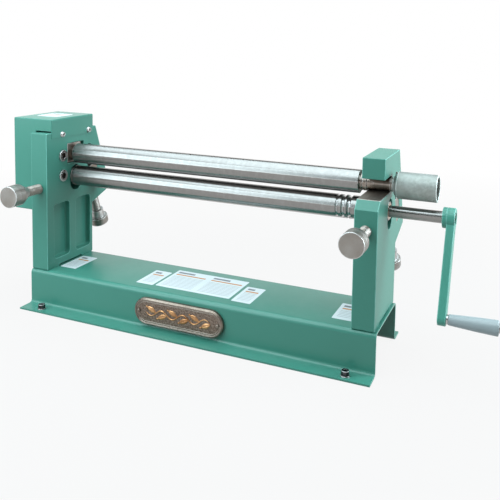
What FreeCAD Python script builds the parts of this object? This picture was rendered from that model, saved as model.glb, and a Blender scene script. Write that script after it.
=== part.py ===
import FreeCAD, Part
import math
import os
import re

import Sketcher

# Bench slip roll: three steel rolls between two cast standards on a folded channel.
# Machine frame while building: X runs from the channel's left end to the crank, Y from
# the channel's front wall to the back, Z up from the bench. Every sub-part is then
# shifted by the same amount, so that the origin lies under the middle of the machine.

SIZES = {
    # folded channel that everything stands on
    "channel_length": 692,
    "channel_width": 148,
    "channel_height": 71,
    "channel_sheet": 3,
    "channel_bend": 6,
    "flange_width": 33,
    # cast standards
    "standard_thickness": 38,
    "standard_height": 270.5,
    "standard_inset": 3,
    "left_end_gap": 1,
    "right_end_gap": 4,
    "casting_edge": 1.2,
    "foot_relief_length": 70,
    "foot_relief_height": 3,
    "core_depth": 11,
    "core_inset": 20,
    "core_rear_wall": 8,
    "core_gap": 19,
    "core_lift": 17,
    "core_height": 110,
    "core_corner": 8,
    # ear behind each standard, with the slanted guide of the rear roll
    "guide_slant": 19.5,
    "ear_setback": 116.6,
    "ear_height": 129,
    "guide_inset": 38.5,
    "guide_width": 29.6,
    "guide_low": 27.5,
    "guide_high": 125,
    # rolls
    "roll_radius": 20,
    "roll_left_gap": 6,
    "roll_right_gap": 13.4,
    "nip_gap": 5.6,
    "axis_setback": 88.4,
    "top_axis_height": 221.2,
    "rear_roll_rest": 43.4,
    "shoulder_radius": 14.5,
    "neck_radius": 13,
    "neck_width": 2.5,
    "disc_width": 3,
    "wire_groove_small": 2.2,
    "wire_groove_step": 0.8,
    "wire_groove_pitch": 10.5,
    "wire_groove_inset": 36.6,
    "lower_journal_radius": 10,
    "rear_journal_radius": 10,
    "top_journal_radius": 12,
    "lower_gear_seat_radius": 8,
    "top_gear_seat_radius": 10,
    "band_width": 2.2,
    "band_depth": 1.6,
    # clearances
    "running_gap": 0.05,
    "moving_gap": 0.3,
    "pressed_gap": 0.02,
    "full_round_margin": 0.001,
    # open throat of the right standard
    "throat_height": 26.8,
    "throat_bush_radius": 12.2,
    "throat_bush_length": 11.7,
    "throat_journal_radius": 11.6,
    "head_inset": 42,
    "nose_run": 14,
    "nose_rise": 14.7,
    # guides and blocks of the lower roll
    "lower_slot_width": 34.2,
    "lower_slot_drop": 30.6,
    "lower_slot_rise": 21.4,
    "lower_block_drop": 15,
    "lower_block_corner": 4,
    "lift_up": 5,
    "bush_wall": 2.5,
    "block_end_gap": 1,
    # swinging block of the top roll
    "window_width": 52.4,
    "window_drop": 18.2,
    "window_rise": 22.8,
    "window_corner": 2,
    "pivot_block_length": 30,
    "pivot_block_width": 42,
    "pivot_block_headroom": 1.3,
    "pivot_pin_radius": 6,
    "pivot_pin_engagement": 7.7,
    "top_shoulder_radius": 15,
    # adjusting screws and their knobs
    "adjuster_radius": 9.5,
    "adjuster_drop": 14.1,
    "adjuster_reach": 36,
    "spigot_radius": 6,
    "spigot_length": 12,
    "cone_length": 20,
    "knob_radius": 20,
    "knob_length": 27,
    "knob_edge": 1.5,
    "wedge_length": 42,
    "wedge_tip_setback": 7.4,
    "wedge_flat": 1.2,
    "rear_adjuster_reach": 38,
    "rear_collar_radius": 14,
    "rear_collar_length": 17,
    "rear_knob_length": 17,
    "rear_knob_edge": 3,
    "rear_block_height": 48.2,
    # gear train in the left cover
    "gear_module": 2,
    "gear_teeth": 20,
    "gear_width": 14,
    "gear_backlash": 0.4,
    "pressure_angle": 20,
    "gear_plane_gap": 7,
    "gear_plane_step": 16,
    "idler_setforward": 40.2,
    "idler_pitch": 40.2,
    "idler_radius": 10,
    "axle_radius": 8,
    "axle_head_radius": 11.5,
    "axle_head_height": 12.5,
    "axle_head_sink": 10,
    "axle_head_gap": 0.3,
    "axle_socket": 12,
    "axle_socket_depth": 7,
    "shaft_overhang": 4,
    "ring_width": 1.2,
    "ring_wall": 3,
    "ring_seat": 1,
    "key_width": 5,
    "key_height": 5,
    # cover over the gear train
    "cover_depth": 55,
    "cover_sheet": 1.5,
    "cover_fold": 1.2,
    "cover_inset": 14,
    "cover_overhang": 2,
    "cover_drop": 157.5,
    "cover_rise": 26.5,
    "cover_notch": 3,
    "cover_flange_drop": 11.5,
    "cover_screw_inset": 31.5,
    "cover_screw_rear_inset": 15.8,
    "cover_screw_drop": 6,
    "cover_screw_radius": 3,
    "cover_screw_length": 12,
    "cover_screw_head_radius": 6.5,
    "cover_screw_crown_radius": 4.5,
    "cover_screw_head": 4,
    "cover_screw_socket": 5,
    "cover_screw_socket_depth": 2,
    # lifting tube on the free end of the top roll
    "tube_radius": 22.5,
    "tube_wall": 3,
    "tube_length": 70,
    "tube_start_gap": 7,
    "tube_chamfer": 5.5,
    "tube_web": 8.5,
    "tube_hub_radius": 14,
    "tube_hub_length": 25,
    "tube_seat_radius": 10,
    "tube_washer": 3.5,
    "tube_screw_radius": 4,
    "tube_screw_depth": 24,
    "tube_screw_head_radius": 6.5,
    "tube_screw_head": 8,
    "tube_screw_socket": 6,
    "tube_screw_socket_depth": 4,
    "tube_screw_washer_radius": 9.5,
    "tube_screw_washer": 2,
    # crank on the lower roll
    "crank_gap": 86,
    "crank_hub_radius": 17,
    "crank_hub_length": 20,
    "crank_arm_width": 22,
    "crank_arm_thickness": 13,
    "crank_arm_length": 156.5,
    "crank_rest_angle": 26,
    "crank_edge": 1.5,
    "crank_shaft_sink": 1.5,
    "crank_mark_radius": 2.2,
    "crank_mark_distance": 24,
    "crank_mark_depth": 6,
    "set_screw_radius": 3,
    "set_screw_length": 6.5,
    "set_screw_socket": 3,
    "set_screw_socket_depth": 3,
    "spindle_radius": 5,
    "spindle_shoulder": 3,
    "spindle_shoulder_radius": 7.5,
    "spindle_head": 5,
    "spindle_head_radius": 7,
    "spindle_edge": 1.6,
    "grip_length": 73,
    "grip_root_radius": 8.3,
    "grip_belly_radius": 10.8,
    "grip_belly_station": 40,
    "grip_tip_radius": 12.1,
    "grip_edge": 3,
    # fasteners of the base
    "foot_bolt_radius": 5,
    "foot_bolt_length": 30,
    "foot_bolt_inset": 22,
    "foot_bolt_head": 6.4,
    "foot_bolt_flats": 17,
    "foot_washer_radius": 10,
    "foot_washer": 2,
    "bench_screw_radius": 4,
    "bench_screw_head_radius": 6.5,
    "bench_screw_head": 8,
    "bench_screw_socket": 6,
    "bench_screw_socket_depth": 4,
    "bench_screw_inset": 43,
    "bench_screw_setout": 20,
    "bench_washer_radius": 8,
    "bench_washer": 1.6,
    # nameplate
    "plate_start": 247,
    "plate_length": 180,
    "plate_lift": 9.4,
    "plate_height": 50,
    "plate_thickness": 8,
    "plate_bevel": 3,
    "rivet_radius": 2,
    "rivet_head_radius": 3.5,
    "rivet_head": 1.5,
    "rivet_inset": 10,
}

PLACES = {
    "left_x": "left_end_gap",
    "left_inner_x": "left_x + standard_thickness",
    "right_outer_x": "channel_length - right_end_gap",
    "right_x": "right_outer_x - standard_thickness",
    "left_mid_x": "left_x + standard_thickness / 2",
    "right_mid_x": "right_x + standard_thickness / 2",
    "front_y": "standard_inset",
    "rear_y": "channel_width - standard_inset",
    "standard_depth": "rear_y - front_y",
    "core_width": "(standard_depth - core_inset - core_gap - core_rear_wall) / 2",
    "bed_z": "channel_height",
    "crown_z": "bed_z + standard_height",
    "axis_y": "front_y + axis_setback",
    "top_axis_z": "bed_z + top_axis_height",
    "low_axis_z": "top_axis_z - 2 * roll_radius - nip_gap",
    # ear and slanted guide
    "ear_tip_y": "axis_y + ear_setback",
    "ear_tip_z": "bed_z + ear_height",
    "ear_root_z": "ear_tip_z - (ear_tip_y - rear_y) * tan(guide_slant)",
    "ear_crown_y": "ear_tip_y - (crown_z - ear_tip_z) * tan(guide_slant)",
    "guide_y": "ear_tip_y - guide_inset * cos(guide_slant)",
    "guide_z": "ear_tip_z - guide_inset * sin(guide_slant)",
    "rest_y": "guide_y - rear_roll_rest * sin(guide_slant)",
    "rest_z": "guide_z + rear_roll_rest * cos(guide_slant)",
    # throat
    "throat_floor_z": "top_axis_z - throat_bush_radius - moving_gap",
    "throat_roof_z": "throat_floor_z + throat_height",
    # lower slot
    "slot_low_z": "low_axis_z - lower_slot_drop",
    "slot_high_z": "low_axis_z + lower_slot_rise",
    "slot_radius": "lower_slot_width / 2",
    "block_radius": "slot_radius - moving_gap",
    "block_crown_z": "slot_high_z - slot_radius - lift_up - moving_gap",
    "block_foot_z": "low_axis_z - lower_block_drop",
    "adjuster_z": "low_axis_z - adjuster_drop",
    "bush_radius": "lower_journal_radius + running_gap + bush_wall",
    "adjuster_bore": "adjuster_radius + running_gap",
    # meeting planes of wedge and block: y + z is the same all over each of them
    "wedge_tip_y": "axis_y - wedge_tip_setback",
    "wedge_plane": "wedge_tip_y + adjuster_z + wedge_flat",
    "facet_plane": "wedge_plane + moving_gap * sqrt(2)",
    "wedge_front_y": "wedge_tip_y - wedge_length",
    # window of the top block
    "window_floor_z": "top_axis_z - window_drop",
    "window_roof_z": "top_axis_z + window_rise",
    "pivot_block_x": "left_mid_x - pivot_block_length / 2",
    "pivot_block_end_x": "left_mid_x + pivot_block_length / 2",
    "pivot_block_foot_z": "window_floor_z + moving_gap",
    "pivot_block_crown_z": "window_roof_z - pivot_block_headroom",
    "pivot_pin_z": "pivot_block_crown_z - pivot_pin_engagement",
    # stations along the rolls
    "roll_x": "left_inner_x + roll_left_gap",
    "roll_end_x": "right_x - roll_right_gap",
    "disc_x": "roll_x - neck_width - disc_width",
    "right_shoulder_x": "right_x - 2 * moving_gap",
    "gear_x": "left_x - gear_plane_gap",
    "gear_end_x": "gear_x - gear_width",
    "far_gear_x": "gear_x - gear_plane_step",
    "far_gear_end_x": "far_gear_x - gear_width",
    "shaft_end_x": "gear_end_x - shaft_overhang",
    "far_shaft_end_x": "far_gear_end_x - shaft_overhang",
    "idler_y": "axis_y - idler_setforward",
    "high_idler_z": "top_axis_z",
    "low_idler_z": "top_axis_z - idler_pitch",
    # cover
    "cover_x": "left_x - cover_depth",
    "cover_y": "front_y + cover_inset",
    "cover_width": "standard_depth - cover_inset + cover_overhang",
    "cover_screw_pitch": "cover_width - cover_screw_inset - cover_screw_rear_inset",
    "cover_foot_z": "crown_z - cover_drop",
    "cover_crown_z": "crown_z + cover_rise",
    "cover_notch_z": "crown_z + cover_notch",
    "cover_inner_x": "left_inner_x + cover_sheet",
    "cover_flange_z": "crown_z - cover_flange_drop",
    # lifting tube
    "journal_end_x": "right_outer_x + moving_gap",
    "tube_hub_x": "journal_end_x + tube_washer",
    "tube_x": "right_outer_x + tube_start_gap",
    "tube_end_x": "tube_x + tube_length",
    "tube_hub_end_x": "tube_hub_x + tube_hub_length",
    "top_shaft_end_x": "tube_hub_end_x - moving_gap",
    # crank
    "crank_x": "right_outer_x + crank_gap",
    "crank_end_x": "crank_x + crank_hub_length",
    "crank_arm_x": "crank_end_x - crank_arm_thickness",
    "low_shaft_end_x": "crank_end_x - crank_shaft_sink",
    "grip_axis_y": "axis_y - crank_arm_length * sin(crank_rest_angle)",
    "grip_axis_z": "low_axis_z - crank_arm_length * cos(crank_rest_angle)",
    "grip_x": "crank_end_x + spindle_shoulder + moving_gap",
    "grip_end_x": "grip_x + grip_length",
    "spindle_head_x": "grip_end_x + moving_gap",
    "tip_x": "spindle_head_x + spindle_head",
    # knobs
    "knob_root_y": "front_y - adjuster_reach",
    "knob_face_y": "knob_root_y - cone_length - knob_length",
    "rear_knob_root": "-rear_adjuster_reach",
    "rear_knob_step": "rear_knob_root - rear_collar_length",
    "rear_knob_face": "rear_knob_step - rear_knob_length",
    "rear_reach_y": "guide_y - (rear_knob_face + rear_knob_edge) * sin(guide_slant)"
                    " + (knob_radius - rear_knob_edge) * cos(guide_slant) + rear_knob_edge",
    # nameplate
    "plate_mid_z": "plate_lift + plate_height / 2",
    "plate_round": "plate_height / 2",
    # one shift for all, from the machine frame to the part's own origin
    "shift_x": "-(cover_x + tip_x) / 2",
    "shift_y": "-(knob_face_y + rear_reach_y) / 2",
}

doc = FreeCAD.newDocument("slip_roll")
Vector = FreeCAD.Vector
Rotation = FreeCAD.Rotation
nodes = []


# ---------------------------------------------------------------- sheets and formulas

def bind(formula):
    """The formula with each size or place led by the name of its sheet."""
    def with_sheet(match):
        word = match.group()
        if word in SIZES:
            return "Sizes." + word
        if word in PLACES:
            return "Places." + word
        return word
    return re.sub(r"[a-z][a-z_0-9]*", with_sheet, str(formula))


def fill_sheet(name, cells):
    """A sheet with one row per cell: its name, its content and its alias."""
    sheet = doc.addObject("Spreadsheet::Sheet", name)
    for row, (alias, content) in enumerate(cells.items(), start=1):
        sheet.set("A%d" % row, alias)
        sheet.set("B%d" % row, content)
        sheet.setAlias("B%d" % row, alias)
    return sheet


sizes = fill_sheet("Sizes", {alias: str(number) for alias, number in SIZES.items()})
fill_sheet("Places", {alias: "=" + bind(formula) for alias, formula in PLACES.items()})
doc.recompute()


def value(formula):
    """A formula of sizes and places as a number."""
    return float(sizes.evalExpression(bind(formula)))


def place(thing, x="0", y="0", z="0", axis=Vector(0, 0, 1), angle="0"):
    """Binds an object's Placement: a turn about an axis, then a step in the machine frame."""
    thing.Placement = FreeCAD.Placement(Vector(), Rotation(axis, value(angle) or 0.001))
    thing.setExpression("Placement.Rotation.Angle", bind(angle))
    thing.setExpression("Placement.Base.x", bind(x))
    thing.setExpression("Placement.Base.y", bind(y))
    thing.setExpression("Placement.Base.z", bind(z))


def keep(thing, label, x="0", y="0", z="0", axis=Vector(0, 0, 1), angle="0"):
    """Names a finished sub-part, shifts it to the part's origin and lists it for export."""
    thing.Label = label
    place(thing, "shift_x + " + x, "shift_y + " + y, z, axis, angle)
    nodes.append(thing)
    return thing


# ---------------------------------------------------------------- sketches

def sketch(body, plane, name, offset="0"):
    """A sketch on one of the body's own origin planes, moved along the plane's normal."""
    drawing = body.newObject("Sketcher::SketchObject", name)
    drawing.AttachmentSupport = [(feature, "") for feature in body.Origin.OriginFeatures
                                 if feature.Role == plane]
    drawing.MapMode = "FlatFace"
    sign = "-" if plane == "XZ_Plane" else ""
    drawing.setExpression("AttachmentOffset.Base.z", bind("%s(%s)" % (sign, offset)))
    return drawing


def fix(drawing, kind, formula, *targets):
    """One dimension of a sketch, bound to a formula."""
    index = drawing.addConstraint(Sketcher.Constraint(kind, *targets, value(formula)))
    drawing.setExpression("Constraints[%d]" % index, bind(formula))


def fix_point(drawing, edge, end, across, up):
    """Both coordinates of a sketch point."""
    fix(drawing, "DistanceX", across, -1, 1, edge, end)
    fix(drawing, "DistanceY", up, -1, 1, edge, end)


def polygon(drawing, points):
    """A closed outline through formula points; "dip" after a point makes a half circle of its line."""
    corners = [Vector(value(point[0]), value(point[1]), 0) for point in points]
    count = len(points)
    first = drawing.GeometryCount
    for index, point in enumerate(points):
        here, there = corners[index], corners[(index + 1) % count]
        if point[-1] == "dip":
            middle = (here + there) / 2
            round_cut = Part.Circle(middle, Vector(0, 0, 1), middle.distanceToPoint(here))
            drawing.addGeometry(Part.ArcOfCircle(round_cut, math.pi, 2 * math.pi))
        else:
            drawing.addGeometry(Part.LineSegment(here, there))
    for index in range(count):
        after = first + (index + 1) % count
        drawing.addConstraint(Sketcher.Constraint("Coincident", first + index, 2, after, 1))
    for index, point in enumerate(points):
        fix_point(drawing, first + index, 1, point[0], point[1])
        if point[-1] == "dip":
            fix(drawing, "DistanceY", point[1], -1, 1, first + index, 3)


def circle(drawing, across, up, radius):
    """A circle with a formula centre and radius."""
    centre = Vector(value(across), value(up), 0)
    index = drawing.addGeometry(Part.Circle(centre, Vector(0, 0, 1), value(radius)))
    fix_point(drawing, index, 3, across, up)
    fix(drawing, "Radius", radius, index)


def obround(drawing, start, end, radius):
    """A slot outline: two half circles about formula centres, joined by tangent lines."""
    low = Vector(value(start[0]), value(start[1]), 0)
    high = Vector(value(end[0]), value(end[1]), 0)
    size = value(radius)
    along = high - low
    lean = math.atan2(along.y, along.x)
    side = Vector(math.sin(lean), -math.cos(lean), 0) * size
    normal = Vector(0, 0, 1)
    arcs = (
        Part.ArcOfCircle(Part.Circle(low, normal, size), lean + math.pi / 2, lean + 3 * math.pi / 2),
        Part.LineSegment(low + side, high + side),
        Part.ArcOfCircle(Part.Circle(high, normal, size), lean - math.pi / 2, lean + math.pi / 2),
        Part.LineSegment(high - side, low - side),
    )
    first = drawing.GeometryCount
    for piece in arcs:
        drawing.addGeometry(piece)
    for index in range(4):
        after = first + (index + 1) % 4
        drawing.addConstraint(Sketcher.Constraint("Tangent", first + index, 2, after, 1))
    for index, centre in ((first, start), (first + 2, end)):
        fix_point(drawing, index, 3, *centre)
        fix(drawing, "Radius", radius, index)


def rounded_box(drawing, left, right, low, high, corner):
    """A rectangle with four equal round corners."""
    size = value(corner)
    near = ("%s + %s" % (left, corner), "%s - %s" % (right, corner))
    level = ("%s + %s" % (low, corner), "%s - %s" % (high, corner))
    centres = ((near[0], level[0]), (near[1], level[0]), (near[1], level[1]), (near[0], level[1]))
    spots = [Vector(value(across), value(up), 0) for across, up in centres]
    first = drawing.GeometryCount
    for index in range(4):
        start = math.pi + index * math.pi / 2
        arc = Part.Circle(spots[index], Vector(0, 0, 1), size)
        drawing.addGeometry(Part.ArcOfCircle(arc, start, start + math.pi / 2))
        leave = Vector(math.cos(start + math.pi / 2), math.sin(start + math.pi / 2), 0) * size
        drawing.addGeometry(Part.LineSegment(spots[index] + leave, spots[(index + 1) % 4] + leave))
    for index in range(8):
        after = first + (index + 1) % 8
        drawing.addConstraint(Sketcher.Constraint("Tangent", first + index, 2, after, 1))
    for index, centre in enumerate(centres):
        fix_point(drawing, first + 2 * index, 3, *centre)
        fix(drawing, "Radius", corner, first + 2 * index)


# ---------------------------------------------------------------- features

def new_body(name):
    return doc.addObject("PartDesign::Body", name)


def grow(body, drawing, length, name="Pad"):
    """A pad from the sketch towards +X, +Y or +Z."""
    pad = body.newObject("PartDesign::Pad", name)
    pad.Profile = drawing
    pad.Reversed = drawing.AttachmentSupport[0][0].Role == "XZ_Plane"
    pad.setExpression("Length", bind(length))
    return pad


def cut(body, drawing, length, name="Pocket"):
    """A pocket from the sketch towards +X, +Y or +Z, which has to take something away."""
    doc.recompute()
    before = body.Shape.Volume
    pocket = body.newObject("PartDesign::Pocket", name)
    pocket.Profile = drawing
    pocket.Reversed = drawing.AttachmentSupport[0][0].Role != "XZ_Plane"
    pocket.setExpression("Length", bind(length))
    doc.recompute()
    if body.Shape.Volume > before - 1e-3:
        raise RuntimeError("%s of %s cuts nothing" % (name, body.Name))
    return pocket


def drill(body, plane, across, up, radius, start, length, name="Bore"):
    """A round hole along the plane's axis, from its start on."""
    drawing = sketch(body, plane, name + "_circle", start)
    circle(drawing, across, up, radius)
    return cut(body, drawing, length, name)


def cut_box(body, x_from, x_to, y_half, z_from, z_to, name):
    """A square-cornered recess, such as a keyway, about the body's own XZ plane."""
    drawing = sketch(body, "XY_Plane", name + "_outline", z_from)
    low, high = "-(%s)" % y_half, y_half
    polygon(drawing, [(x_from, low), (x_to, low), (x_to, high), (x_from, high)])
    return cut(body, drawing, "%s - (%s)" % (z_to, z_from), name)


def ease(body, kind, size, chosen, name="Edge"):
    """A fillet or chamfer on the edges of the body that the test picks."""
    doc.recompute()
    base = body.Tip
    edges = ["Edge%d" % (index + 1) for index, edge in enumerate(base.Shape.Edges) if chosen(edge)]
    if not edges:
        raise RuntimeError("no edge to ease on %s" % body.Name)
    feature = body.newObject("PartDesign::" + kind, name)
    feature.Base = (base, edges)
    feature.setExpression("Radius" if kind == "Fillet" else "Size", bind(size))
    return feature


def near(first, second):
    return abs(first - second) < 1e-4


def rim(station, radius, axis="x"):
    """Test for a round edge at a station along the axis, with a radius."""
    place_on_axis, size = value(station), value(radius)

    def chosen(edge):
        if not isinstance(edge.Curve, Part.Circle):
            return False
        return near(getattr(edge.Curve.Center, axis), place_on_axis) and near(edge.Curve.Radius, size)
    return chosen


def along_x(*lines):
    """Test for straight edges along X through any of the given (y, z) points."""
    spots = [(value(across), value(up)) for across, up in lines]

    def chosen(edge):
        box = edge.BoundBox
        flat = box.YLength < 1e-4 and box.ZLength < 1e-4
        return flat and any(near(box.YMin, across) and near(box.ZMin, up) for across, up in spots)
    return chosen


def turned(name, profile, axis="H_Axis"):
    """A body turned from (station, radius) points about its own X, or Z for V_Axis."""
    body = new_body(name)
    outline = sketch(body, "XZ_Plane", "HalfProfile")
    if axis == "V_Axis":
        profile = [(radius, station) for station, radius in profile]
    polygon(outline, profile)
    turn = body.newObject("PartDesign::Revolution", "Turn")
    turn.Profile = outline
    turn.ReferenceAxis = (outline, [axis])
    turn.Angle = 360
    return body


def stepped(steps):
    """Half profile of a solid shaft from (start, end, radius) steps or ready lists of points."""
    points = [(steps[0][0], "0")]
    for step in steps:
        if isinstance(step, list):
            points += step
        else:
            start, end, radius = step
            points += [(start, radius), (end, radius)]
    return points + [(steps[-1][1], "0")]


def sleeve(start, end, inside, outside):
    """Half profile of a plain ring or bush."""
    return [(start, inside), (start, outside), (end, outside), (end, inside)]


# ---------------------------------------------------------------- part primitives

def solid(kind, name, **fields):
    """A Part primitive whose fields are bound to formulas."""
    thing = doc.addObject("Part::" + kind, name)
    for field, formula in fields.items():
        thing.setExpression(field, bind(formula))
    return thing


def fused(name, *pieces):
    whole = doc.addObject("Part::MultiFuse", name)
    whole.Shapes = list(pieces)
    return whole


def less(name, base, tool):
    rest = doc.addObject("Part::Cut", name)
    rest.Base = base
    rest.Tool = tool
    return rest


def together(label, members):
    """Like fasteners that share one node as separate solids."""
    group = doc.addObject("Part::Compound", label + "_group")
    group.Links = members
    return keep(group, label)


def hexagon(name, flats, height, low):
    """A six-sided prism, by its size across flats, standing on a level."""
    prism = solid("Prism", name, Circumradius="%s / sqrt(3)" % flats, Height=height)
    prism.Polygon = 6
    place(prism, z=low)
    return prism


def screw(name, head_radius, head, shank_radius, shank, socket, socket_depth, crown=None):
    """A socket screw along Z with its seat at 0, the shank below and the head above."""
    if crown:
        top = solid("Cone", name + "_head", Radius1=head_radius, Radius2=crown, Height=head)
    else:
        top = solid("Cylinder", name + "_head", Radius=head_radius, Height=head)
    stem = solid("Cylinder", name + "_shank", Radius=shank_radius, Height=shank)
    place(stem, z="-(%s)" % shank)
    recess = hexagon(name + "_socket", socket, socket_depth, "%s - %s" % (head, socket_depth))
    return less(name, fused(name + "_blank", top, stem), recess)


def washer(name, outside, inside, thickness):
    """A flat washer along Z that stands on 0."""
    disc = solid("Cylinder", name + "_disc", Radius=outside, Height=thickness)
    hole = solid("Cylinder", name + "_hole", Radius=inside, Height=thickness)
    return less(name, disc, hole)


# ---------------------------------------------------------------- base channel

CHANNEL_OUTLINE = [
    ("-flange_width", "0"), ("channel_sheet", "0"),
    ("channel_sheet", "bed_z - channel_sheet"),
    ("channel_width - channel_sheet", "bed_z - channel_sheet"),
    ("channel_width - channel_sheet", "0"), ("channel_width + flange_width", "0"),
    ("channel_width + flange_width", "channel_sheet"), ("channel_width", "channel_sheet"),
    ("channel_width", "bed_z"), ("0", "bed_z"), ("0", "channel_sheet"),
    ("-flange_width", "channel_sheet"),
]

foot_bolt_spots = [(x, y) for x in ("left_mid_x", "right_mid_x")
                   for y in ("front_y + foot_bolt_inset", "rear_y - foot_bolt_inset")]
bench_screw_spots = [(x, y) for x in ("bench_screw_inset", "channel_length - bench_screw_inset")
                     for y in ("-bench_screw_setout", "channel_width + bench_screw_setout")]
rivet_stations = ("plate_start + rivet_inset", "plate_start + plate_length - rivet_inset")


def base_channel():
    """A hat-section channel folded from sheet, with its screw and rivet holes."""
    body = new_body("Channel")
    outline = sketch(body, "YZ_Plane", "HatSection")
    polygon(outline, CHANNEL_OUTLINE)
    grow(body, outline, "channel_length", "Fold")
    inner = [CHANNEL_OUTLINE[index] for index in (2, 3, 7, 10)]
    outer = [CHANNEL_OUTLINE[index] for index in (1, 4, 8, 9)]
    ease(body, "Fillet", "channel_bend", along_x(*inner), "InnerBends")
    ease(body, "Fillet", "channel_bend + channel_sheet", along_x(*outer), "OuterBends")
    bolt_hole = "foot_bolt_radius + running_gap"
    drawing = sketch(body, "XY_Plane", "FootHoles", "bed_z - channel_sheet")
    for x, y in foot_bolt_spots:
        circle(drawing, x, y, bolt_hole)
    cut(body, drawing, "channel_sheet", "FootBoltHoles")
    drawing = sketch(body, "XY_Plane", "BenchHoles")
    for x, y in bench_screw_spots:
        circle(drawing, x, y, "bench_screw_radius + running_gap")
    cut(body, drawing, "channel_sheet", "BenchScrewHoles")
    drawing = sketch(body, "XZ_Plane", "PlateHoles")
    for x in rivet_stations:
        circle(drawing, x, "plate_mid_z", "rivet_radius + pressed_gap")
    cut(body, drawing, "channel_sheet", "RivetHoles")
    return keep(body, "base_channel")


# ---------------------------------------------------------------- standards

FOOT = [
    ("rear_y", "bed_z"),
    ("(front_y + rear_y + foot_relief_length) / 2", "bed_z"),
    ("(front_y + rear_y + foot_relief_length) / 2", "bed_z + foot_relief_height"),
    ("(front_y + rear_y - foot_relief_length) / 2", "bed_z + foot_relief_height"),
    ("(front_y + rear_y - foot_relief_length) / 2", "bed_z"),
    ("front_y", "bed_z"),
]
EAR = [("ear_crown_y", "crown_z"), ("ear_tip_y", "ear_tip_z"), ("rear_y", "ear_root_z")]
LEFT_FRONT = [("front_y", "crown_z")]
RIGHT_FRONT = [
    ("front_y", "throat_floor_z - nose_rise"),
    ("front_y + nose_run", "throat_floor_z"),
    ("axis_y + throat_height / 2", "throat_floor_z"),
    ("axis_y + throat_height / 2", "throat_roof_z"),
    ("front_y + head_inset", "throat_roof_z"),
    ("front_y + head_inset", "crown_z"),
]


def standard(name, x, mid_x, inner_x, core_x, front):
    """A cast end plate: outline, cored panels, slots and screw bores that both sides have."""
    body = new_body(name)
    outline = sketch(body, "YZ_Plane", "Outline", x)
    polygon(outline, FOOT + front + EAR)
    grow(body, outline, "standard_thickness", "Plate")
    relief = value("bed_z + foot_relief_height")
    if front is RIGHT_FRONT:
        throat_end = [("axis_y + throat_height / 2", level) for level in ("throat_floor_z", "throat_roof_z")]
        ease(body, "Fillet", "throat_height / 2 - full_round_margin", along_x(*throat_end), "ThroatEnd")
    ease(body, "Fillet", "casting_edge",
         lambda edge: edge.BoundBox.XLength < 1e-4 and edge.BoundBox.ZMax > relief + 1, "CastEdges")
    panels = sketch(body, "YZ_Plane", "Panels", core_x)
    for start in ("front_y + core_inset", "front_y + core_inset + core_width + core_gap"):
        rounded_box(panels, start, start + " + core_width",
                    "bed_z + core_lift", "bed_z + core_lift + core_height", "core_corner")
    cut(body, panels, "core_depth", "CoredPanels")
    slot = sketch(body, "YZ_Plane", "LowerSlotOutline", x)
    obround(slot, ("axis_y", "slot_low_z + slot_radius"), ("axis_y", "slot_high_z - slot_radius"),
            "slot_radius")
    cut(body, slot, "standard_thickness", "LowerSlot")
    guide = sketch(body, "YZ_Plane", "RearGuideOutline", x)
    ends = [("guide_y - (%s) * sin(guide_slant)" % reach, "guide_z + (%s) * cos(guide_slant)" % reach)
            for reach in ("guide_low + guide_width / 2", "guide_high - guide_width / 2")]
    obround(guide, ends[0], ends[1], "guide_width / 2")
    cut(body, guide, "standard_thickness", "RearGuide")
    drill(body, "XZ_Plane", mid_x, "adjuster_z", "adjuster_bore", "front_y", "axis_setback", "FrontBore")
    slanted = sketch(body, "XY_Plane", "RearBoreCircle")
    slanted.AttachmentOffset = FreeCAD.Placement(Vector(), Rotation(Vector(1, 0, 0), value("guide_slant")))
    slanted.setExpression("AttachmentOffset.Rotation.Angle", bind("guide_slant"))
    slanted.setExpression("AttachmentOffset.Base.x", bind(mid_x))
    slanted.setExpression("AttachmentOffset.Base.y", bind("guide_y"))
    slanted.setExpression("AttachmentOffset.Base.z", bind("guide_z"))
    circle(slanted, "0", "0", "adjuster_bore")
    cut(body, slanted, "guide_low + guide_width / 2", "RearBore")
    for number, (spot_x, spot_y) in enumerate(foot_bolt_spots):
        if spot_x == mid_x:
            drill(body, "XY_Plane", spot_x, spot_y, "foot_bolt_radius + running_gap", "bed_z",
                  "foot_bolt_length - foot_washer - channel_sheet + moving_gap", "FootHole%d" % number)
    return body


def left_standard():
    """The left standard also holds the top roll's block, the idler axles and the cover."""
    body = standard("LeftStandard", "left_x", "left_mid_x", "left_inner_x",
                    "left_inner_x - core_depth", LEFT_FRONT)
    window = sketch(body, "YZ_Plane", "WindowOutline", "left_x")
    rounded_box(window, "axis_y - window_width / 2", "axis_y + window_width / 2",
                "window_floor_z", "window_roof_z", "window_corner")
    cut(body, window, "standard_thickness", "Window")
    for number, level in enumerate(("low_idler_z", "high_idler_z")):
        drill(body, "YZ_Plane", "idler_y", level, "axle_radius + pressed_gap", "left_x",
              "standard_thickness", "AxleHole%d" % number)
        drill(body, "YZ_Plane", "idler_y", level, "axle_head_radius + axle_head_gap",
              "left_inner_x - axle_head_sink", "axle_head_sink", "AxleCounterbore%d" % number)
    drill(body, "XY_Plane", "left_mid_x", "axis_y", "pivot_pin_radius + pressed_gap",
          "window_roof_z", "crown_z - window_roof_z", "PivotPinHole")
    for number, station in enumerate(cover_screw_stations):
        drill(body, "YZ_Plane", station, "crown_z - cover_screw_drop",
              "cover_screw_radius + pressed_gap", "left_inner_x - cover_screw_length",
              "cover_screw_length", "CoverScrewHole%d" % number)
    return keep(body, "left_standard")


def right_standard():
    """The right standard has an open throat, from which the top roll swings out."""
    body = standard("RightStandard", "right_x", "right_mid_x", "right_x", "right_x", RIGHT_FRONT)
    return keep(body, "right_standard")


cover_screw_stations = ("cover_y + cover_screw_inset",
                        "cover_y + cover_screw_inset + cover_screw_pitch")


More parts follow.
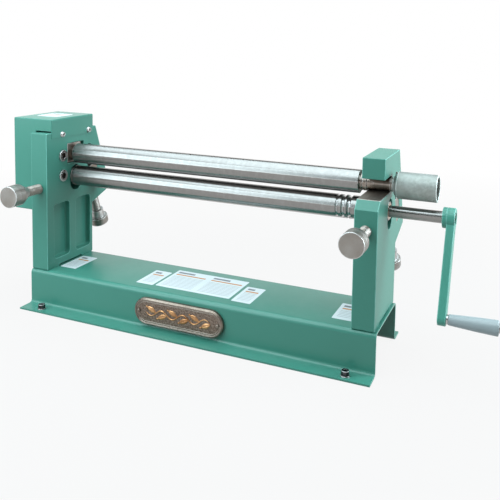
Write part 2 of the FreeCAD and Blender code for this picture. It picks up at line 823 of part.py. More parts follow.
def gear_cover():
    """A sheet box over the gears that hooks across the left standard's top."""
    body = new_body("Cover")
    outline = sketch(body, "XZ_Plane", "Outline", "cover_y")
    polygon(outline, [
        ("cover_x", "cover_foot_z"), ("left_x", "cover_foot_z"), ("left_x", "cover_notch_z"),
        ("left_inner_x", "cover_notch_z"), ("left_inner_x", "cover_flange_z"),
        ("cover_inner_x", "cover_flange_z"), ("cover_inner_x", "cover_crown_z"),
        ("cover_x", "cover_crown_z")])
    grow(body, outline, "cover_width", "Box")
    left, right = value("cover_x"), value("cover_inner_x")
    crown = value("cover_crown_z")

    def outer_fold(edge):
        box = edge.BoundBox
        upright = box.XLength < 1e-4 and near(box.XMin, left)
        top_edge = box.ZLength < 1e-4 and near(box.ZMin, crown)
        return upright or top_edge or (near(box.XMin, right) and near(box.XMax, right) and box.ZLength > 1)
    ease(body, "Fillet", "cover_fold", outer_fold, "Folds")
    hollow = sketch(body, "XZ_Plane", "Hollow", "cover_y + cover_sheet")
    polygon(hollow, [
        ("cover_x + cover_sheet", "cover_foot_z + cover_sheet"),
        ("left_x", "cover_foot_z + cover_sheet"), ("left_x", "cover_notch_z"),
        ("left_inner_x", "cover_notch_z"), ("left_inner_x", "cover_crown_z - cover_sheet"),
        ("cover_x + cover_sheet", "cover_crown_z - cover_sheet")])
    cut(body, hollow, "cover_width - 2 * cover_sheet", "Inside")
    for number, station in enumerate(cover_screw_stations):
        drill(body, "YZ_Plane", station, "crown_z - cover_screw_drop",
              "cover_screw_radius + pressed_gap", "left_inner_x", "cover_sheet",
              "ScrewHole%d" % number)
    return keep(body, "gear_cover")


# ---------------------------------------------------------------- fasteners of the frame

def cover_screws():
    screws = []
    for number, station in enumerate(cover_screw_stations):
        one = screw("CoverScrew%d" % number, "cover_screw_head_radius", "cover_screw_head",
                    "cover_screw_radius", "cover_screw_length", "cover_screw_socket",
                    "cover_screw_socket_depth", "cover_screw_crown_radius")
        place(one, "cover_inner_x", station, "crown_z - cover_screw_drop", Vector(0, 1, 0), "90")
        screws.append(one)
    return together("cover_screws", screws)


def standard_bolts():
    """Hexagon bolts up through the channel's top into each standard, on their washers."""
    seat = "bed_z - channel_sheet - foot_washer"
    bolts, washers = [], []
    for number, (x, y) in enumerate(foot_bolt_spots):
        head = hexagon("FootBoltHead%d" % number, "foot_bolt_flats", "foot_bolt_head",
                       "-foot_bolt_head")
        stem = solid("Cylinder", "FootBoltShank%d" % number,
                     Radius="foot_bolt_radius", Height="foot_bolt_length")
        bolt = fused("FootBolt%d" % number, head, stem)
        place(bolt, x, y, seat)
        bolts.append(bolt)
        ring = washer("FootWasher%d" % number, "foot_washer_radius",
                      "foot_bolt_radius + running_gap", "foot_washer")
        place(ring, x, y, seat)
        washers.append(ring)
    together("standard_bolts", bolts)
    together("standard_bolt_washers", washers)


def bench_screws():
    """Socket screws in the flanges; the shanks end flush with the underside."""
    seat = "channel_sheet + bench_washer"
    screws, washers = [], []
    for number, (x, y) in enumerate(bench_screw_spots):
        one = screw("BenchScrew%d" % number, "bench_screw_head_radius", "bench_screw_head",
                    "bench_screw_radius", seat, "bench_screw_socket", "bench_screw_socket_depth")
        place(one, x, y, seat)
        screws.append(one)
        ring = washer("BenchWasher%d" % number, "bench_washer_radius",
                      "bench_screw_radius + running_gap", "bench_washer")
        place(ring, x, y, "channel_sheet")
        washers.append(ring)
    together("bench_screws", screws)
    together("bench_washers", washers)


def nameplate():
    """A cast plate with round ends and a bevelled rim, riveted to the front wall."""
    body = new_body("Plate")
    outline = sketch(body, "XZ_Plane", "Stadium", "-plate_thickness")
    obround(outline, ("plate_start + plate_round", "plate_mid_z"),
            ("plate_start + plate_length - plate_round", "plate_mid_z"), "plate_round")
    grow(body, outline, "plate_thickness", "Slab")
    face = -value("plate_thickness")
    ease(body, "Chamfer", "plate_bevel",
         lambda edge: near(edge.BoundBox.YMin, face) and near(edge.BoundBox.YMax, face), "Bevel")
    for number, station in enumerate(rivet_stations):
        drill(body, "XZ_Plane", station, "plate_mid_z", "rivet_radius + pressed_gap",
              "-plate_thickness", "plate_thickness", "RivetHole%d" % number)
    keep(body, "nameplate")
    rivets = []
    for number, station in enumerate(rivet_stations):
        dome = solid("Cone", "RivetHead%d" % number, Radius1="rivet_head_radius",
                     Radius2="rivet_radius", Height="rivet_head")
        stem = solid("Cylinder", "RivetShank%d" % number, Radius="rivet_radius",
                     Height="plate_thickness + channel_sheet")
        place(stem, z="-(plate_thickness + channel_sheet)")
        rivet = fused("Rivet%d" % number, dome, stem)
        place(rivet, station, "-plate_thickness", "plate_mid_z", Vector(1, 0, 0), "90")
        rivets.append(rivet)
    together("nameplate_rivets", rivets)


def idler_axles():
    """Two shoulder screws through the left standard that carry the idler gears."""
    axles, rings = [], []
    for name, level, end in (("LowAxle", "low_idler_z", "gear_end_x"),
                             ("HighAxle", "high_idler_z", "far_gear_end_x")):
        seat = "left_inner_x - axle_head_sink"
        shank = "%s - (%s) + shaft_overhang" % (seat, end)
        whole = screw(name + "Blank", "axle_head_radius", "axle_head_height", "axle_radius",
                      shank, "axle_socket", "axle_socket_depth")
        groove = washer(name + "Groove", "axle_radius + ring_seat", "axle_radius - ring_seat",
                        "ring_width")
        place(groove, z="%s - moving_gap - ring_width - (%s)" % (end, seat))
        axle = less(name, whole, groove)
        place(axle, seat, "idler_y", level, Vector(0, 1, 0), "90")
        axles.append(axle)
        ring = washer(name + "Ring", "axle_radius + ring_wall",
                      "axle_radius - ring_seat + pressed_gap", "ring_width")
        place(ring, "%s - moving_gap - ring_width" % end, "idler_y", level, Vector(0, 1, 0), "90")
        rings.append(ring)
    together("idler_axles", axles)
    together("idler_retaining_rings", rings)


def top_block_pivot():
    """A plain pin in the left standard, upright, about which the top roll swings."""
    pin = solid("Cylinder", "PivotPin", Radius="pivot_pin_radius", Height="crown_z - pivot_pin_z")
    return keep(pin, "top_block_pivot", "left_mid_x", "axis_y", "pivot_pin_z")


# ---------------------------------------------------------------- bearing blocks

def lower_block(label, x):
    """A block in the lower slot, with a round crown and a 45 degree facet for the wedge."""
    body = new_body("Block")
    outline = sketch(body, "YZ_Plane", "Outline")
    front, rear = "axis_y - block_radius", "axis_y + block_radius"
    crown = "block_crown_z + block_radius"
    polygon(outline, [
        (front, "facet_plane - (%s)" % front), ("facet_plane - block_foot_z", "block_foot_z"),
        (rear + " - lower_block_corner", "block_foot_z"), (rear, "block_foot_z + lower_block_corner"),
        (rear, crown), (front, crown)])
    thickness = "standard_thickness - 2 * block_end_gap"
    grow(body, outline, thickness, "Blank")
    ease(body, "Fillet", "block_radius - full_round_margin", along_x((front, crown), (rear, crown)), "Crown")
    drill(body, "YZ_Plane", "axis_y", "low_axis_z", "bush_radius + running_gap", "0", thickness)
    return keep(body, label, x + " + block_end_gap")


def lower_bush(label, x):
    """A loose bush between the lower journal and its block."""
    body = turned("Bush", sleeve("0", "standard_thickness - 2 * block_end_gap",
                                 "lower_journal_radius + running_gap", "bush_radius"))
    return keep(body, label, x + " + block_end_gap", "axis_y", "low_axis_z")


def rear_block(label, x):
    """A block in the slanted guide, round below, with its own Z along the guide."""
    body = new_body("RearBlock")
    outline = sketch(body, "YZ_Plane", "Outline")
    half = "guide_width / 2 - moving_gap"
    foot = "guide_low + moving_gap"
    polygon(outline, [("-(%s)" % half, foot), (half, foot), (half, foot + " + rear_block_height"),
                      ("-(%s)" % half, foot + " + rear_block_height")])
    thickness = "standard_thickness - 2 * block_end_gap"
    grow(body, outline, thickness, "Blank")
    corners = along_x(("-(%s)" % half, foot), (half, foot))
    ease(body, "Fillet", half + " - full_round_margin", corners, "RoundFoot")
    drill(body, "YZ_Plane", "0", "rear_roll_rest", "rear_journal_radius + running_gap", "0", thickness)
    return keep(body, label, x + " + block_end_gap", "guide_y", "guide_z", Vector(1, 0, 0), "guide_slant")


def top_left_block():
    """The block that turns about the pivot pin inside the left standard's window."""
    body = new_body("PivotBlock")
    outline = sketch(body, "YZ_Plane", "Outline", "pivot_block_x")
    half = "pivot_block_width / 2"
    rounded_box(outline, "axis_y - " + half, "axis_y + " + half,
                "pivot_block_foot_z", "pivot_block_crown_z", "window_corner")
    grow(body, outline, "pivot_block_length", "Blank")
    drill(body, "YZ_Plane", "axis_y", "top_axis_z", "top_journal_radius + running_gap",
          "pivot_block_x", "pivot_block_length", "JournalBore")
    drill(body, "XY_Plane", "left_mid_x", "axis_y", "pivot_pin_radius + running_gap",
          "pivot_pin_z - moving_gap", "pivot_pin_engagement + moving_gap", "PinBore")
    return keep(body, "top_left_block")


# ---------------------------------------------------------------- rolls

def grooved_barrel():
    """The barrel with three round grooves near its right end, for rolling wire of three sizes."""
    points = [("roll_x", "roll_radius")]
    for number in range(3):
        middle = "roll_end_x - wire_groove_inset + %d * wire_groove_pitch" % number
        half = "(wire_groove_small + %d * wire_groove_step)" % number
        points += [("%s - %s" % (middle, half), "roll_radius", "dip"),
                   ("%s + %s" % (middle, half), "roll_radius")]
    return points + [("roll_end_x", "roll_radius")]


def lower_roll():
    """The driven roll: gear seat, journals, disc and neck, barrel and crank shaft in one."""
    seat = "lower_gear_seat_radius"
    groove = "gear_end_x - ring_width"
    body = turned("LowerRoll", stepped([
        ("shaft_end_x", groove, seat),
        (groove, "gear_end_x", seat + " - ring_seat"),
        ("gear_end_x", "gear_x", seat),
        ("gear_x", "disc_x", "lower_journal_radius"),
        ("disc_x", "disc_x + disc_width", "roll_radius"),
        ("disc_x + disc_width", "roll_x", "neck_radius"),
        grooved_barrel(),
        ("roll_end_x", "right_shoulder_x", "shoulder_radius"),
        ("right_shoulder_x", "low_shaft_end_x", "lower_journal_radius")]))
    cut_box(body, "gear_end_x", "gear_x", "key_width / 2 + pressed_gap",
            seat + " - key_height / 2", seat, "Keyway")
    return keep(body, "lower_roll", "0", "axis_y", "low_axis_z")


def top_roll():
    """The roll that swings out: gear seat, journal, barrel, banded shoulder and throat journal."""
    seat = "top_gear_seat_radius"
    groove = "far_gear_end_x - ring_width"
    band = "roll_end_x + band_width"
    body = turned("TopRoll", stepped([
        ("far_shaft_end_x", groove, seat),
        (groove, "far_gear_end_x", seat + " - ring_seat"),
        ("far_gear_end_x", "far_gear_x", seat),
        ("far_gear_x", "pivot_block_end_x + moving_gap", "top_journal_radius"),
        ("pivot_block_end_x + moving_gap", "roll_x", "top_shoulder_radius"),
        ("roll_x", "roll_end_x", "roll_radius"),
        ("roll_end_x", band, "shoulder_radius - band_depth"),
        (band, band + " + band_width", "shoulder_radius"),
        (band + " + band_width", band + " + 2 * band_width", "shoulder_radius - band_depth"),
        (band + " + 2 * band_width", "right_shoulder_x", "shoulder_radius"),
        ("right_shoulder_x", "right_shoulder_x + throat_bush_length", "throat_bush_radius"),
        ("right_shoulder_x + throat_bush_length", "journal_end_x", "throat_journal_radius"),
        ("journal_end_x", "top_shaft_end_x", "tube_seat_radius")]))
    cut_box(body, "far_gear_end_x", "far_gear_x", "key_width / 2 + pressed_gap",
            seat + " - key_height / 2", seat, "Keyway")
    drill(body, "YZ_Plane", "0", "0", "tube_screw_radius + pressed_gap",
          "top_shaft_end_x - tube_screw_depth", "tube_screw_depth", "ScrewHole")
    return keep(body, "top_roll", "0", "axis_y", "top_axis_z")


def rear_roll():
    """The bending roll behind the others, free to turn in its two blocks."""
    body = turned("RearRoll", stepped([
        ("left_x + 2 * block_end_gap", "left_inner_x + block_end_gap", "rear_journal_radius"),
        ("left_inner_x + block_end_gap", "roll_x", "shoulder_radius"),
        grooved_barrel(),
        ("roll_end_x", "right_shoulder_x", "shoulder_radius"),
        ("right_shoulder_x", "right_outer_x - 2 * block_end_gap", "rear_journal_radius")]))
    return keep(body, "rear_roll", "0", "rest_y", "rest_z")


# ---------------------------------------------------------------- adjusting screws

def wedge(label, x):
    """A plunger in the front bore whose sloping end lifts the lower block."""
    body = new_body("Wedge")
    outline = sketch(body, "XZ_Plane", "Round", "wedge_front_y")
    circle(outline, "0", "adjuster_z", "adjuster_radius")
    grow(body, outline, "wedge_length", "Rod")
    slope = sketch(body, "YZ_Plane", "Slope", "-(adjuster_radius + moving_gap)")
    top = "adjuster_z + adjuster_radius + moving_gap"
    beyond = "wedge_tip_y + moving_gap"
    polygon(slope, [("wedge_plane - (%s)" % top, top), (beyond, "wedge_plane - (%s)" % beyond),
                    (beyond, top)])
    cut(body, slope, "2 * (adjuster_radius + moving_gap)", "SlopingEnd")
    return keep(body, label, x)


def front_screw(label, x):
    """The adjusting screw behind each wedge, with a spigot for its knob."""
    body = turned("FrontScrew", stepped([
        ("knob_root_y - spigot_length", "knob_root_y", "spigot_radius"),
        ("knob_root_y", "wedge_front_y - moving_gap", "adjuster_radius")]))
    return keep(body, label, x, "0", "adjuster_z", Vector(0, 0, 1), "90")


def front_knob(label, x):
    """A turned knob: a cone that widens from the screw to a plain round head."""
    bore = "spigot_radius + pressed_gap"
    bottom = "knob_root_y - spigot_length - moving_gap"
    face = "knob_face_y"
    step = "knob_face_y + knob_length"
    body = turned("FrontKnob", [
        (face, "0"), (face, "knob_radius"), (step, "knob_radius"),
        ("knob_root_y", "adjuster_radius"), ("knob_root_y", bore), (bottom, bore), (bottom, "0")])
    ease(body, "Fillet", "knob_edge", rim(face, "knob_radius"))
    return keep(body, label, x, "0", "adjuster_z", Vector(0, 0, 1), "90")


def rear_screw(label, x):
    """The slanted screw that carries a rear block, with a spigot for its knob."""
    body = turned("RearScrew", stepped([
        ("rear_knob_root - spigot_length", "rear_knob_root", "spigot_radius"),
        ("rear_knob_root", "guide_low", "adjuster_radius")]), "V_Axis")
    return keep(body, label, x, "guide_y", "guide_z", Vector(1, 0, 0), "guide_slant")


def rear_knob(label, x):
    """A two-step turned knob below each rear screw."""
    bore = "spigot_radius + pressed_gap"
    bottom = "rear_knob_root - spigot_length - moving_gap"
    body = turned("RearKnob", [
        ("rear_knob_face", "0"), ("rear_knob_face", "knob_radius"),
        ("rear_knob_step", "knob_radius"), ("rear_knob_step", "rear_collar_radius"),
        ("rear_knob_root", "rear_collar_radius"), ("rear_knob_root", bore), (bottom, bore),
        (bottom, "0")], "V_Axis")
    ease(body, "Fillet", "rear_knob_edge", rim("rear_knob_face", "knob_radius", "z"))
    return keep(body, label, x, "guide_y", "guide_z", Vector(1, 0, 0), "guide_slant")


# ---------------------------------------------------------------- gear train

def involute(angle):
    """The involute function of an angle in radians."""
    return math.tan(angle) - angle


def toothed_disc(phase, width, bore):
    """A spur gear along +X: involute flanks as arcs, one tooth centred on the phase angle."""
    teeth = int(value("gear_teeth"))
    module = value("gear_module")
    pitch_radius = module * teeth / 2
    pressure = math.radians(value("pressure_angle"))
    base_radius = pitch_radius * math.cos(pressure)
    tip_radius = pitch_radius + module
    root_radius = pitch_radius - 1.25 * module
    thin = value("gear_backlash") / 4 / pitch_radius
    half_tooth = math.pi / (2 * teeth) - thin + involute(pressure)

    def spot(radius, angle):
        return Vector(0, radius * math.cos(angle), radius * math.sin(angle))

    def half_angle(radius):
        return half_tooth - involute(math.acos(min(1, base_radius / radius)))

    edges = []
    middle = (base_radius + tip_radius) / 2
    for index in range(teeth):
        centre = phase + 2 * math.pi * index / teeth
        after = centre + 2 * math.pi / teeth
        root_half, tip_half = half_angle(base_radius), half_angle(tip_radius)
        rising = [spot(base_radius, centre - root_half), spot(middle, centre - half_angle(middle)),
                  spot(tip_radius, centre - tip_half)]
        falling = [spot(tip_radius, centre + tip_half), spot(middle, centre + half_angle(middle)),
                   spot(base_radius, centre + root_half)]
        edges += [
            Part.makeLine(spot(root_radius, centre - root_half), rising[0]),
            Part.Arc(*rising).toShape(),
            Part.Arc(rising[2], spot(tip_radius, centre), falling[0]).toShape(),
            Part.Arc(*falling).toShape(),
            Part.makeLine(falling[2], spot(root_radius, centre + root_half)),
            Part.Arc(spot(root_radius, centre + root_half),
                     spot(root_radius, (centre + after) / 2),
                     spot(root_radius, after - root_half)).toShape(),
        ]
    disc = Part.Face(Part.Wire(edges)).extrude(Vector(width, 0, 0))
    return disc.cut(Part.makeCylinder(bore, width, Vector(0, 0, 0), Vector(1, 0, 0)))


def meshing(phase, start, end):
    """Phase of an equal gear that meshes at rest with one at the start, seen from +X."""
    heading = math.atan2(value(end[1]) - value(start[1]), value(end[0]) - value(start[0]))
    half_pitch = math.pi / value("gear_teeth")
    return half_pitch + 2 * heading + math.pi - phase


def gear(label, phase, width, bore, x, spot, key_seat=None):
    """A gear as a fixed shape, with a keyway where it is keyed to its shaft."""
    shape = toothed_disc(phase, value(width), value(bore))
    if key_seat:
        half = value("key_width / 2 + pressed_gap")
        top = value(key_seat) + value("key_height / 2 + pressed_gap")
        shape = shape.cut(Part.makeBox(value(width), 2 * half, top, Vector(0, -half, 0)))
    disc = doc.addObject("Part::Feature", "Gear")
    disc.Shape = shape
    return keep(disc, label, x, spot[0], spot[1])


def key(label, seat, x, level):
    """A square key between a shaft and its gear."""
    bar = solid("Box", "Key", Length="gear_width", Width="key_width", Height="key_height")
    return keep(bar, label, x, "axis_y - key_width / 2", "%s + %s - key_height / 2" % (level, seat))


def shaft_ring(label, seat, end, level):
    """A retaining ring against the gear, in the groove of its shaft."""
    body = turned("ShaftRing", sleeve("0", "ring_width", seat + " - ring_seat + pressed_gap",
                                      seat + " + ring_wall"))
    return keep(body, label, end + " - ring_width", "axis_y", level)


def idler_bush(label, end, level):
    """The bush pressed into an idler gear, which also spaces it from the standard."""
    body = turned("IdlerBush", sleeve(end, "left_x - moving_gap", "axle_radius + running_gap",
                                      "idler_radius"))
    return keep(body, label, "0", "idler_y", level)


def gear_train():
    """Crank shaft to lower idler, upper idler and top roll, in two planes."""
    low, low_idler = ("axis_y", "low_axis_z"), ("idler_y", "low_idler_z")
    high_idler, top = ("idler_y", "high_idler_z"), ("axis_y", "top_axis_z")
    phase = 0.0
    gear("lower_gear", phase, "gear_width", "lower_gear_seat_radius + pressed_gap",
         "gear_end_x", low, "lower_gear_seat_radius")
    phase = meshing(phase, low, low_idler)
    gear("idler_gear_lower", phase, "gear_width", "idler_radius + pressed_gap",
         "gear_end_x", low_idler)
    phase = meshing(phase, low_idler, high_idler)
    gear("idler_gear_upper", phase, "gear_width + gear_plane_step", "idler_radius + pressed_gap",
         "far_gear_end_x", high_idler)
    phase = meshing(phase, high_idler, top)
    gear("top_gear", phase, "gear_width", "top_gear_seat_radius + pressed_gap",
         "far_gear_end_x", top, "top_gear_seat_radius")
    key("lower_gear_key", "lower_gear_seat_radius", "gear_end_x", "low_axis_z")
    key("top_gear_key", "top_gear_seat_radius", "far_gear_end_x", "top_axis_z")
    shaft_ring("lower_gear_ring", "lower_gear_seat_radius", "gear_end_x", "low_axis_z")
    shaft_ring("top_gear_ring", "top_gear_seat_radius", "far_gear_end_x", "top_axis_z")
    idler_bush("idler_bush_lower", "gear_end_x", "low_idler_z")
    idler_bush("idler_bush_upper", "far_gear_end_x", "high_idler_z")


# ---------------------------------------------------------------- lifting tube

def lift_tube():
    """A tube handle on the top roll's free end: washer, hub, wall and the screw inside."""
    hole = "tube_seat_radius + pressed_gap"
    body = turned("JournalWasher", sleeve("journal_end_x", "tube_hub_x", hole, "throat_bush_radius"))
    keep(body, "journal_collar", "0", "axis_y", "top_axis_z")
    bore = "tube_radius - tube_wall"
    web = "tube_x + tube_web"
    body = turned("LiftTube", [
        ("tube_hub_x", hole), ("tube_hub_x", "throat_bush_radius"), ("tube_x", "throat_bush_radius"),
        ("tube_x", "tube_radius - tube_chamfer"), ("tube_x + tube_chamfer", "tube_radius"),
        ("tube_end_x", "tube_radius"), ("tube_end_x", bore), (web, bore),
        (web, "tube_hub_radius"), ("tube_hub_end_x", "tube_hub_radius"), ("tube_hub_end_x", hole)])
    keep(body, "lift_tube", "0", "axis_y", "top_axis_z")
    disc = washer("TubeScrewWasher", "tube_screw_washer_radius", "tube_screw_radius + running_gap",
                  "tube_screw_washer")
    keep(disc, "lift_tube_washer", "tube_hub_end_x", "axis_y", "top_axis_z", Vector(0, 1, 0), "90")
    one = screw("TubeScrew", "tube_screw_head_radius", "tube_screw_head", "tube_screw_radius",
                "tube_screw_depth - moving_gap", "tube_screw_socket", "tube_screw_socket_depth")
    keep(one, "lift_tube_screw", "tube_hub_end_x + tube_screw_washer", "axis_y", "top_axis_z",
         Vector(0, 1, 0), "90")


# ---------------------------------------------------------------- crank

def crank_arm():
    """A flat arm with a round hub; its own Z runs from the grip to the hub."""
    body = new_body("CrankArm")
    hub = sketch(body, "YZ_Plane", "HubCircle")
    circle(hub, "0", "0", "crank_hub_radius")
    grow(body, hub, "crank_hub_length", "Hub")
    bar = sketch(body, "YZ_Plane", "ArmOutline", "crank_hub_length - crank_arm_thickness")
    obround(bar, ("0", "0"), ("0", "-crank_arm_length"), "crank_arm_width / 2")
    grow(body, bar, "crank_arm_thickness", "Arm")
    hub_end = value("crank_hub_length")
    ease(body, "Fillet", "crank_edge",
         lambda edge: near(edge.BoundBox.XMax, 0) or near(edge.BoundBox.XMin, hub_end))
    drill(body, "YZ_Plane", "0", "0", "lower_journal_radius + pressed_gap", "0",
          "crank_hub_length", "ShaftBore")
    drill(body, "YZ_Plane", "0", "-crank_arm_length", "spindle_radius + pressed_gap",
          "crank_hub_length - crank_arm_thickness", "crank_arm_thickness", "SpindleHole")
    drill(body, "YZ_Plane", "0", "-crank_mark_distance", "crank_mark_radius",
          "crank_hub_length - crank_mark_depth", "crank_mark_depth", "SmallHole")
    drill(body, "XZ_Plane", "crank_hub_length / 2", "0", "set_screw_radius + pressed_gap",
          "0", "crank_hub_radius + moving_gap", "SetScrewHole")
    keep(body, "crank_arm", "crank_x", "axis_y", "low_axis_z", Vector(1, 0, 0), "-crank_rest_angle")
    stem = solid("Cylinder", "SetScrewBlank", Radius="set_screw_radius", Height="set_screw_length")
    recess = hexagon("SetScrewSocket", "set_screw_socket", "set_screw_socket_depth",
                     "set_screw_length - set_screw_socket_depth")
    grub = less("SetScrew", stem, recess)
    reach = "(lower_journal_radius + pressed_gap)"
    keep(grub, "crank_set_screw", "crank_x + crank_hub_length / 2",
         "axis_y + %s * cos(crank_rest_angle)" % reach,
         "low_axis_z - %s * sin(crank_rest_angle)" % reach,
         Vector(1, 0, 0), "-90 - crank_rest_angle")


def crank_handle():
    """The spindle riveted into the arm and the grip that turns on it."""
    body = turned("Spindle", stepped([
        ("crank_arm_x", "crank_end_x", "spindle_radius"),
        ("crank_end_x", "crank_end_x + spindle_shoulder", "spindle_shoulder_radius"),
        ("crank_end_x + spindle_shoulder", "spindle_head_x", "spindle_radius"),
        ("spindle_head_x", "tip_x", "spindle_head_radius")]))
    ease(body, "Fillet", "spindle_edge", rim("tip_x", "spindle_head_radius"))
    keep(body, "crank_spindle", "0", "grip_axis_y", "grip_axis_z")
    bore = "spindle_radius + running_gap"
    body = turned("Grip", [
        ("grip_x", bore), ("grip_x", "grip_root_radius"),
        ("grip_x + grip_belly_station", "grip_belly_radius"),
        ("grip_end_x", "grip_tip_radius"), ("grip_end_x", bore)])
    ease(body, "Fillet", "grip_edge", rim("grip_end_x", "grip_tip_radius"))
    keep(body, "crank_grip", "0", "grip_axis_y", "grip_axis_z")


# ---------------------------------------------------------------- the whole machine

base_channel()
left_standard()
right_standard()
gear_cover()
cover_screws()
standard_bolts()
bench_screws()
nameplate()
idler_axles()
top_block_pivot()
top_left_block()
lower_roll()
top_roll()
rear_roll()
for side, start_x, middle_x in (("left", "left_x", "left_mid_x"), ("right", "right_x", "right_mid_x")):
    lower_block("lower_%s_block" % side, start_x)
    lower_bush("lower_%s_bush" % side, start_x)
    rear_block("rear_%s_block" % side, start_x)
    wedge("front_%s_wedge" % side, middle_x)
    front_screw("front_%s_screw" % side, middle_x)
    front_knob("front_%s_knob" % side, middle_x)
    rear_screw("rear_%s_screw" % side, middle_x)
    rear_knob("rear_%s_knob" % side, middle_x)
gear_train()
lift_tube()
crank_arm()
crank_handle()
doc.recompute()

# ---------------------------------------------------------------- checks and export

for thing in doc.Objects:
    if {"Invalid", "Error"} & set(thing.State):
        raise RuntimeError("%s (%s) did not compute" % (thing.Name, thing.Label))
os.makedirs("parts", exist_ok=True)
for node in nodes:
    if node.Shape.isNull() or not node.Shape.isValid() or not node.Shape.Solids:
        raise RuntimeError("%s has no valid shape" % node.Label)
    node.Shape.exportStep("parts/%s.step" % node.Label)
    box = node.Shape.BoundBox
    print("%-24s %d solid(s) %9.0f mm3  x %7.1f %7.1f  y %7.1f %7.1f  z %6.1f %6.1f" % (
        node.Label, len(node.Shape.Solids), node.Shape.Volume,
        box.XMin, box.XMax, box.YMin, box.YMax, box.ZMin, box.ZMax))
print("%d nodes" % len(nodes))
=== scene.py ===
# %% [markdown]
# # Dressing a bench slip roll
# The machine bends sheet metal between three steel rolls. Two cast standards on a folded
# channel carry the rolls, a crank turns them through gears in the left cover, and four
# turned knobs set their height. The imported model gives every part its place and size, so
# this lesson only makes surfaces: fine meshes with rounded edges, and finishes for them.

# %% Load the frame
import math

import bpy
import numpy as np
from mathutils import Matrix, Vector
from mathutils.geometry import tessellate_polygon


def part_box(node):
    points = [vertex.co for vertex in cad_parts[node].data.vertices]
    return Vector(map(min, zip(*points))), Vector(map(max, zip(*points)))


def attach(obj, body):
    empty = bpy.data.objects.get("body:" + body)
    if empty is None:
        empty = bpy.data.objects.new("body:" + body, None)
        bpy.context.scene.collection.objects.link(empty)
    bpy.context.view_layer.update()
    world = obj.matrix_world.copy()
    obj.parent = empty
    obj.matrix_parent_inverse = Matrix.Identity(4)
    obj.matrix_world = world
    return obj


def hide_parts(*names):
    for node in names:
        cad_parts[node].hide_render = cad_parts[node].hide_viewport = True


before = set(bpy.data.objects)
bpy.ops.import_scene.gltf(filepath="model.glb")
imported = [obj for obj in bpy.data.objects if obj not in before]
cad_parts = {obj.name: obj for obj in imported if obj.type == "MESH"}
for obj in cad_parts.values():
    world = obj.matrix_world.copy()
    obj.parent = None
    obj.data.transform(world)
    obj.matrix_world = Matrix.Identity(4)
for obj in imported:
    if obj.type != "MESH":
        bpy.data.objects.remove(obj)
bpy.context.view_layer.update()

# %% [markdown]
# A machine is easiest to describe in its own frame: X from the channel's left end, Y from
# its front wall, Z up from the bench, all in millimetres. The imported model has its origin
# under the middle, so one shift, read from the channel's box, joins the two frames.

# %% The machine's own frame
FLANGE = 33.0
MM = 0.001
channel_low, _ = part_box("base_channel")
SHIFT = np.array([channel_low.x / MM, channel_low.y / MM + FLANGE, 0.0])


def to_metres(points):
    """Row-frame place of machine points: add the shift, then turn millimetres to metres."""
    return (np.asarray(points, float) + SHIFT) * MM


print("shift in mm:", SHIFT.round(3))

# %% [markdown]
# The camera stands in front and to the right, a little above the rolls, and looks down by
# a few degrees. A lens shift keeps the uprights nearly parallel, as a product camera does.

# %% The camera
CAMERA_SPOT = (919.0, -1013.8, 528.0)
CAMERA_TURN, CAMERA_DIP, CAMERA_ROLL = 23.92, 5.09, 0.85
CAMERA_LENS = 48.44
CAMERA_SHIFT = -0.3


def camera_matrix(spot, turn, dip, roll):
    """Rotation whose columns are the camera's right, up and backward directions."""
    a, b, c = np.radians([turn, dip, roll])
    ahead = np.array([-np.sin(a) * np.cos(b), np.cos(a) * np.cos(b), -np.sin(b)])
    right = np.array([np.cos(a), np.sin(a), 0.0])
    up = np.cross(right, ahead)
    rolled_right = np.cos(c) * right + np.sin(c) * up
    rolled_up = np.cos(c) * up - np.sin(c) * right
    matrix = np.eye(4)
    matrix[:3, :3] = np.stack([rolled_right, rolled_up, -ahead], 1)
    matrix[:3, 3] = to_metres(spot)
    return Matrix(matrix.tolist())


scene = bpy.context.scene
camera = bpy.data.objects.new("camera", bpy.data.cameras.new("camera"))
scene.collection.objects.link(camera)
camera.matrix_world = camera_matrix(CAMERA_SPOT, CAMERA_TURN, CAMERA_DIP, CAMERA_ROLL)
camera.data.lens = CAMERA_LENS
camera.data.shift_y = CAMERA_SHIFT
camera.data.clip_start, camera.data.clip_end = 0.01, 100
scene.camera = camera
scene.view_settings.view_transform = "Standard"
print("camera at", [round(x, 3) for x in camera.location])

# %% [markdown]
# Node trees are long to write, so one small class does the wiring: it adds a node, sets
# its fields and either links a socket or gives it a value. A colour is written as three
# numbers, and the class adds the fourth, because every surface here is solid.

# %% Wiring nodes


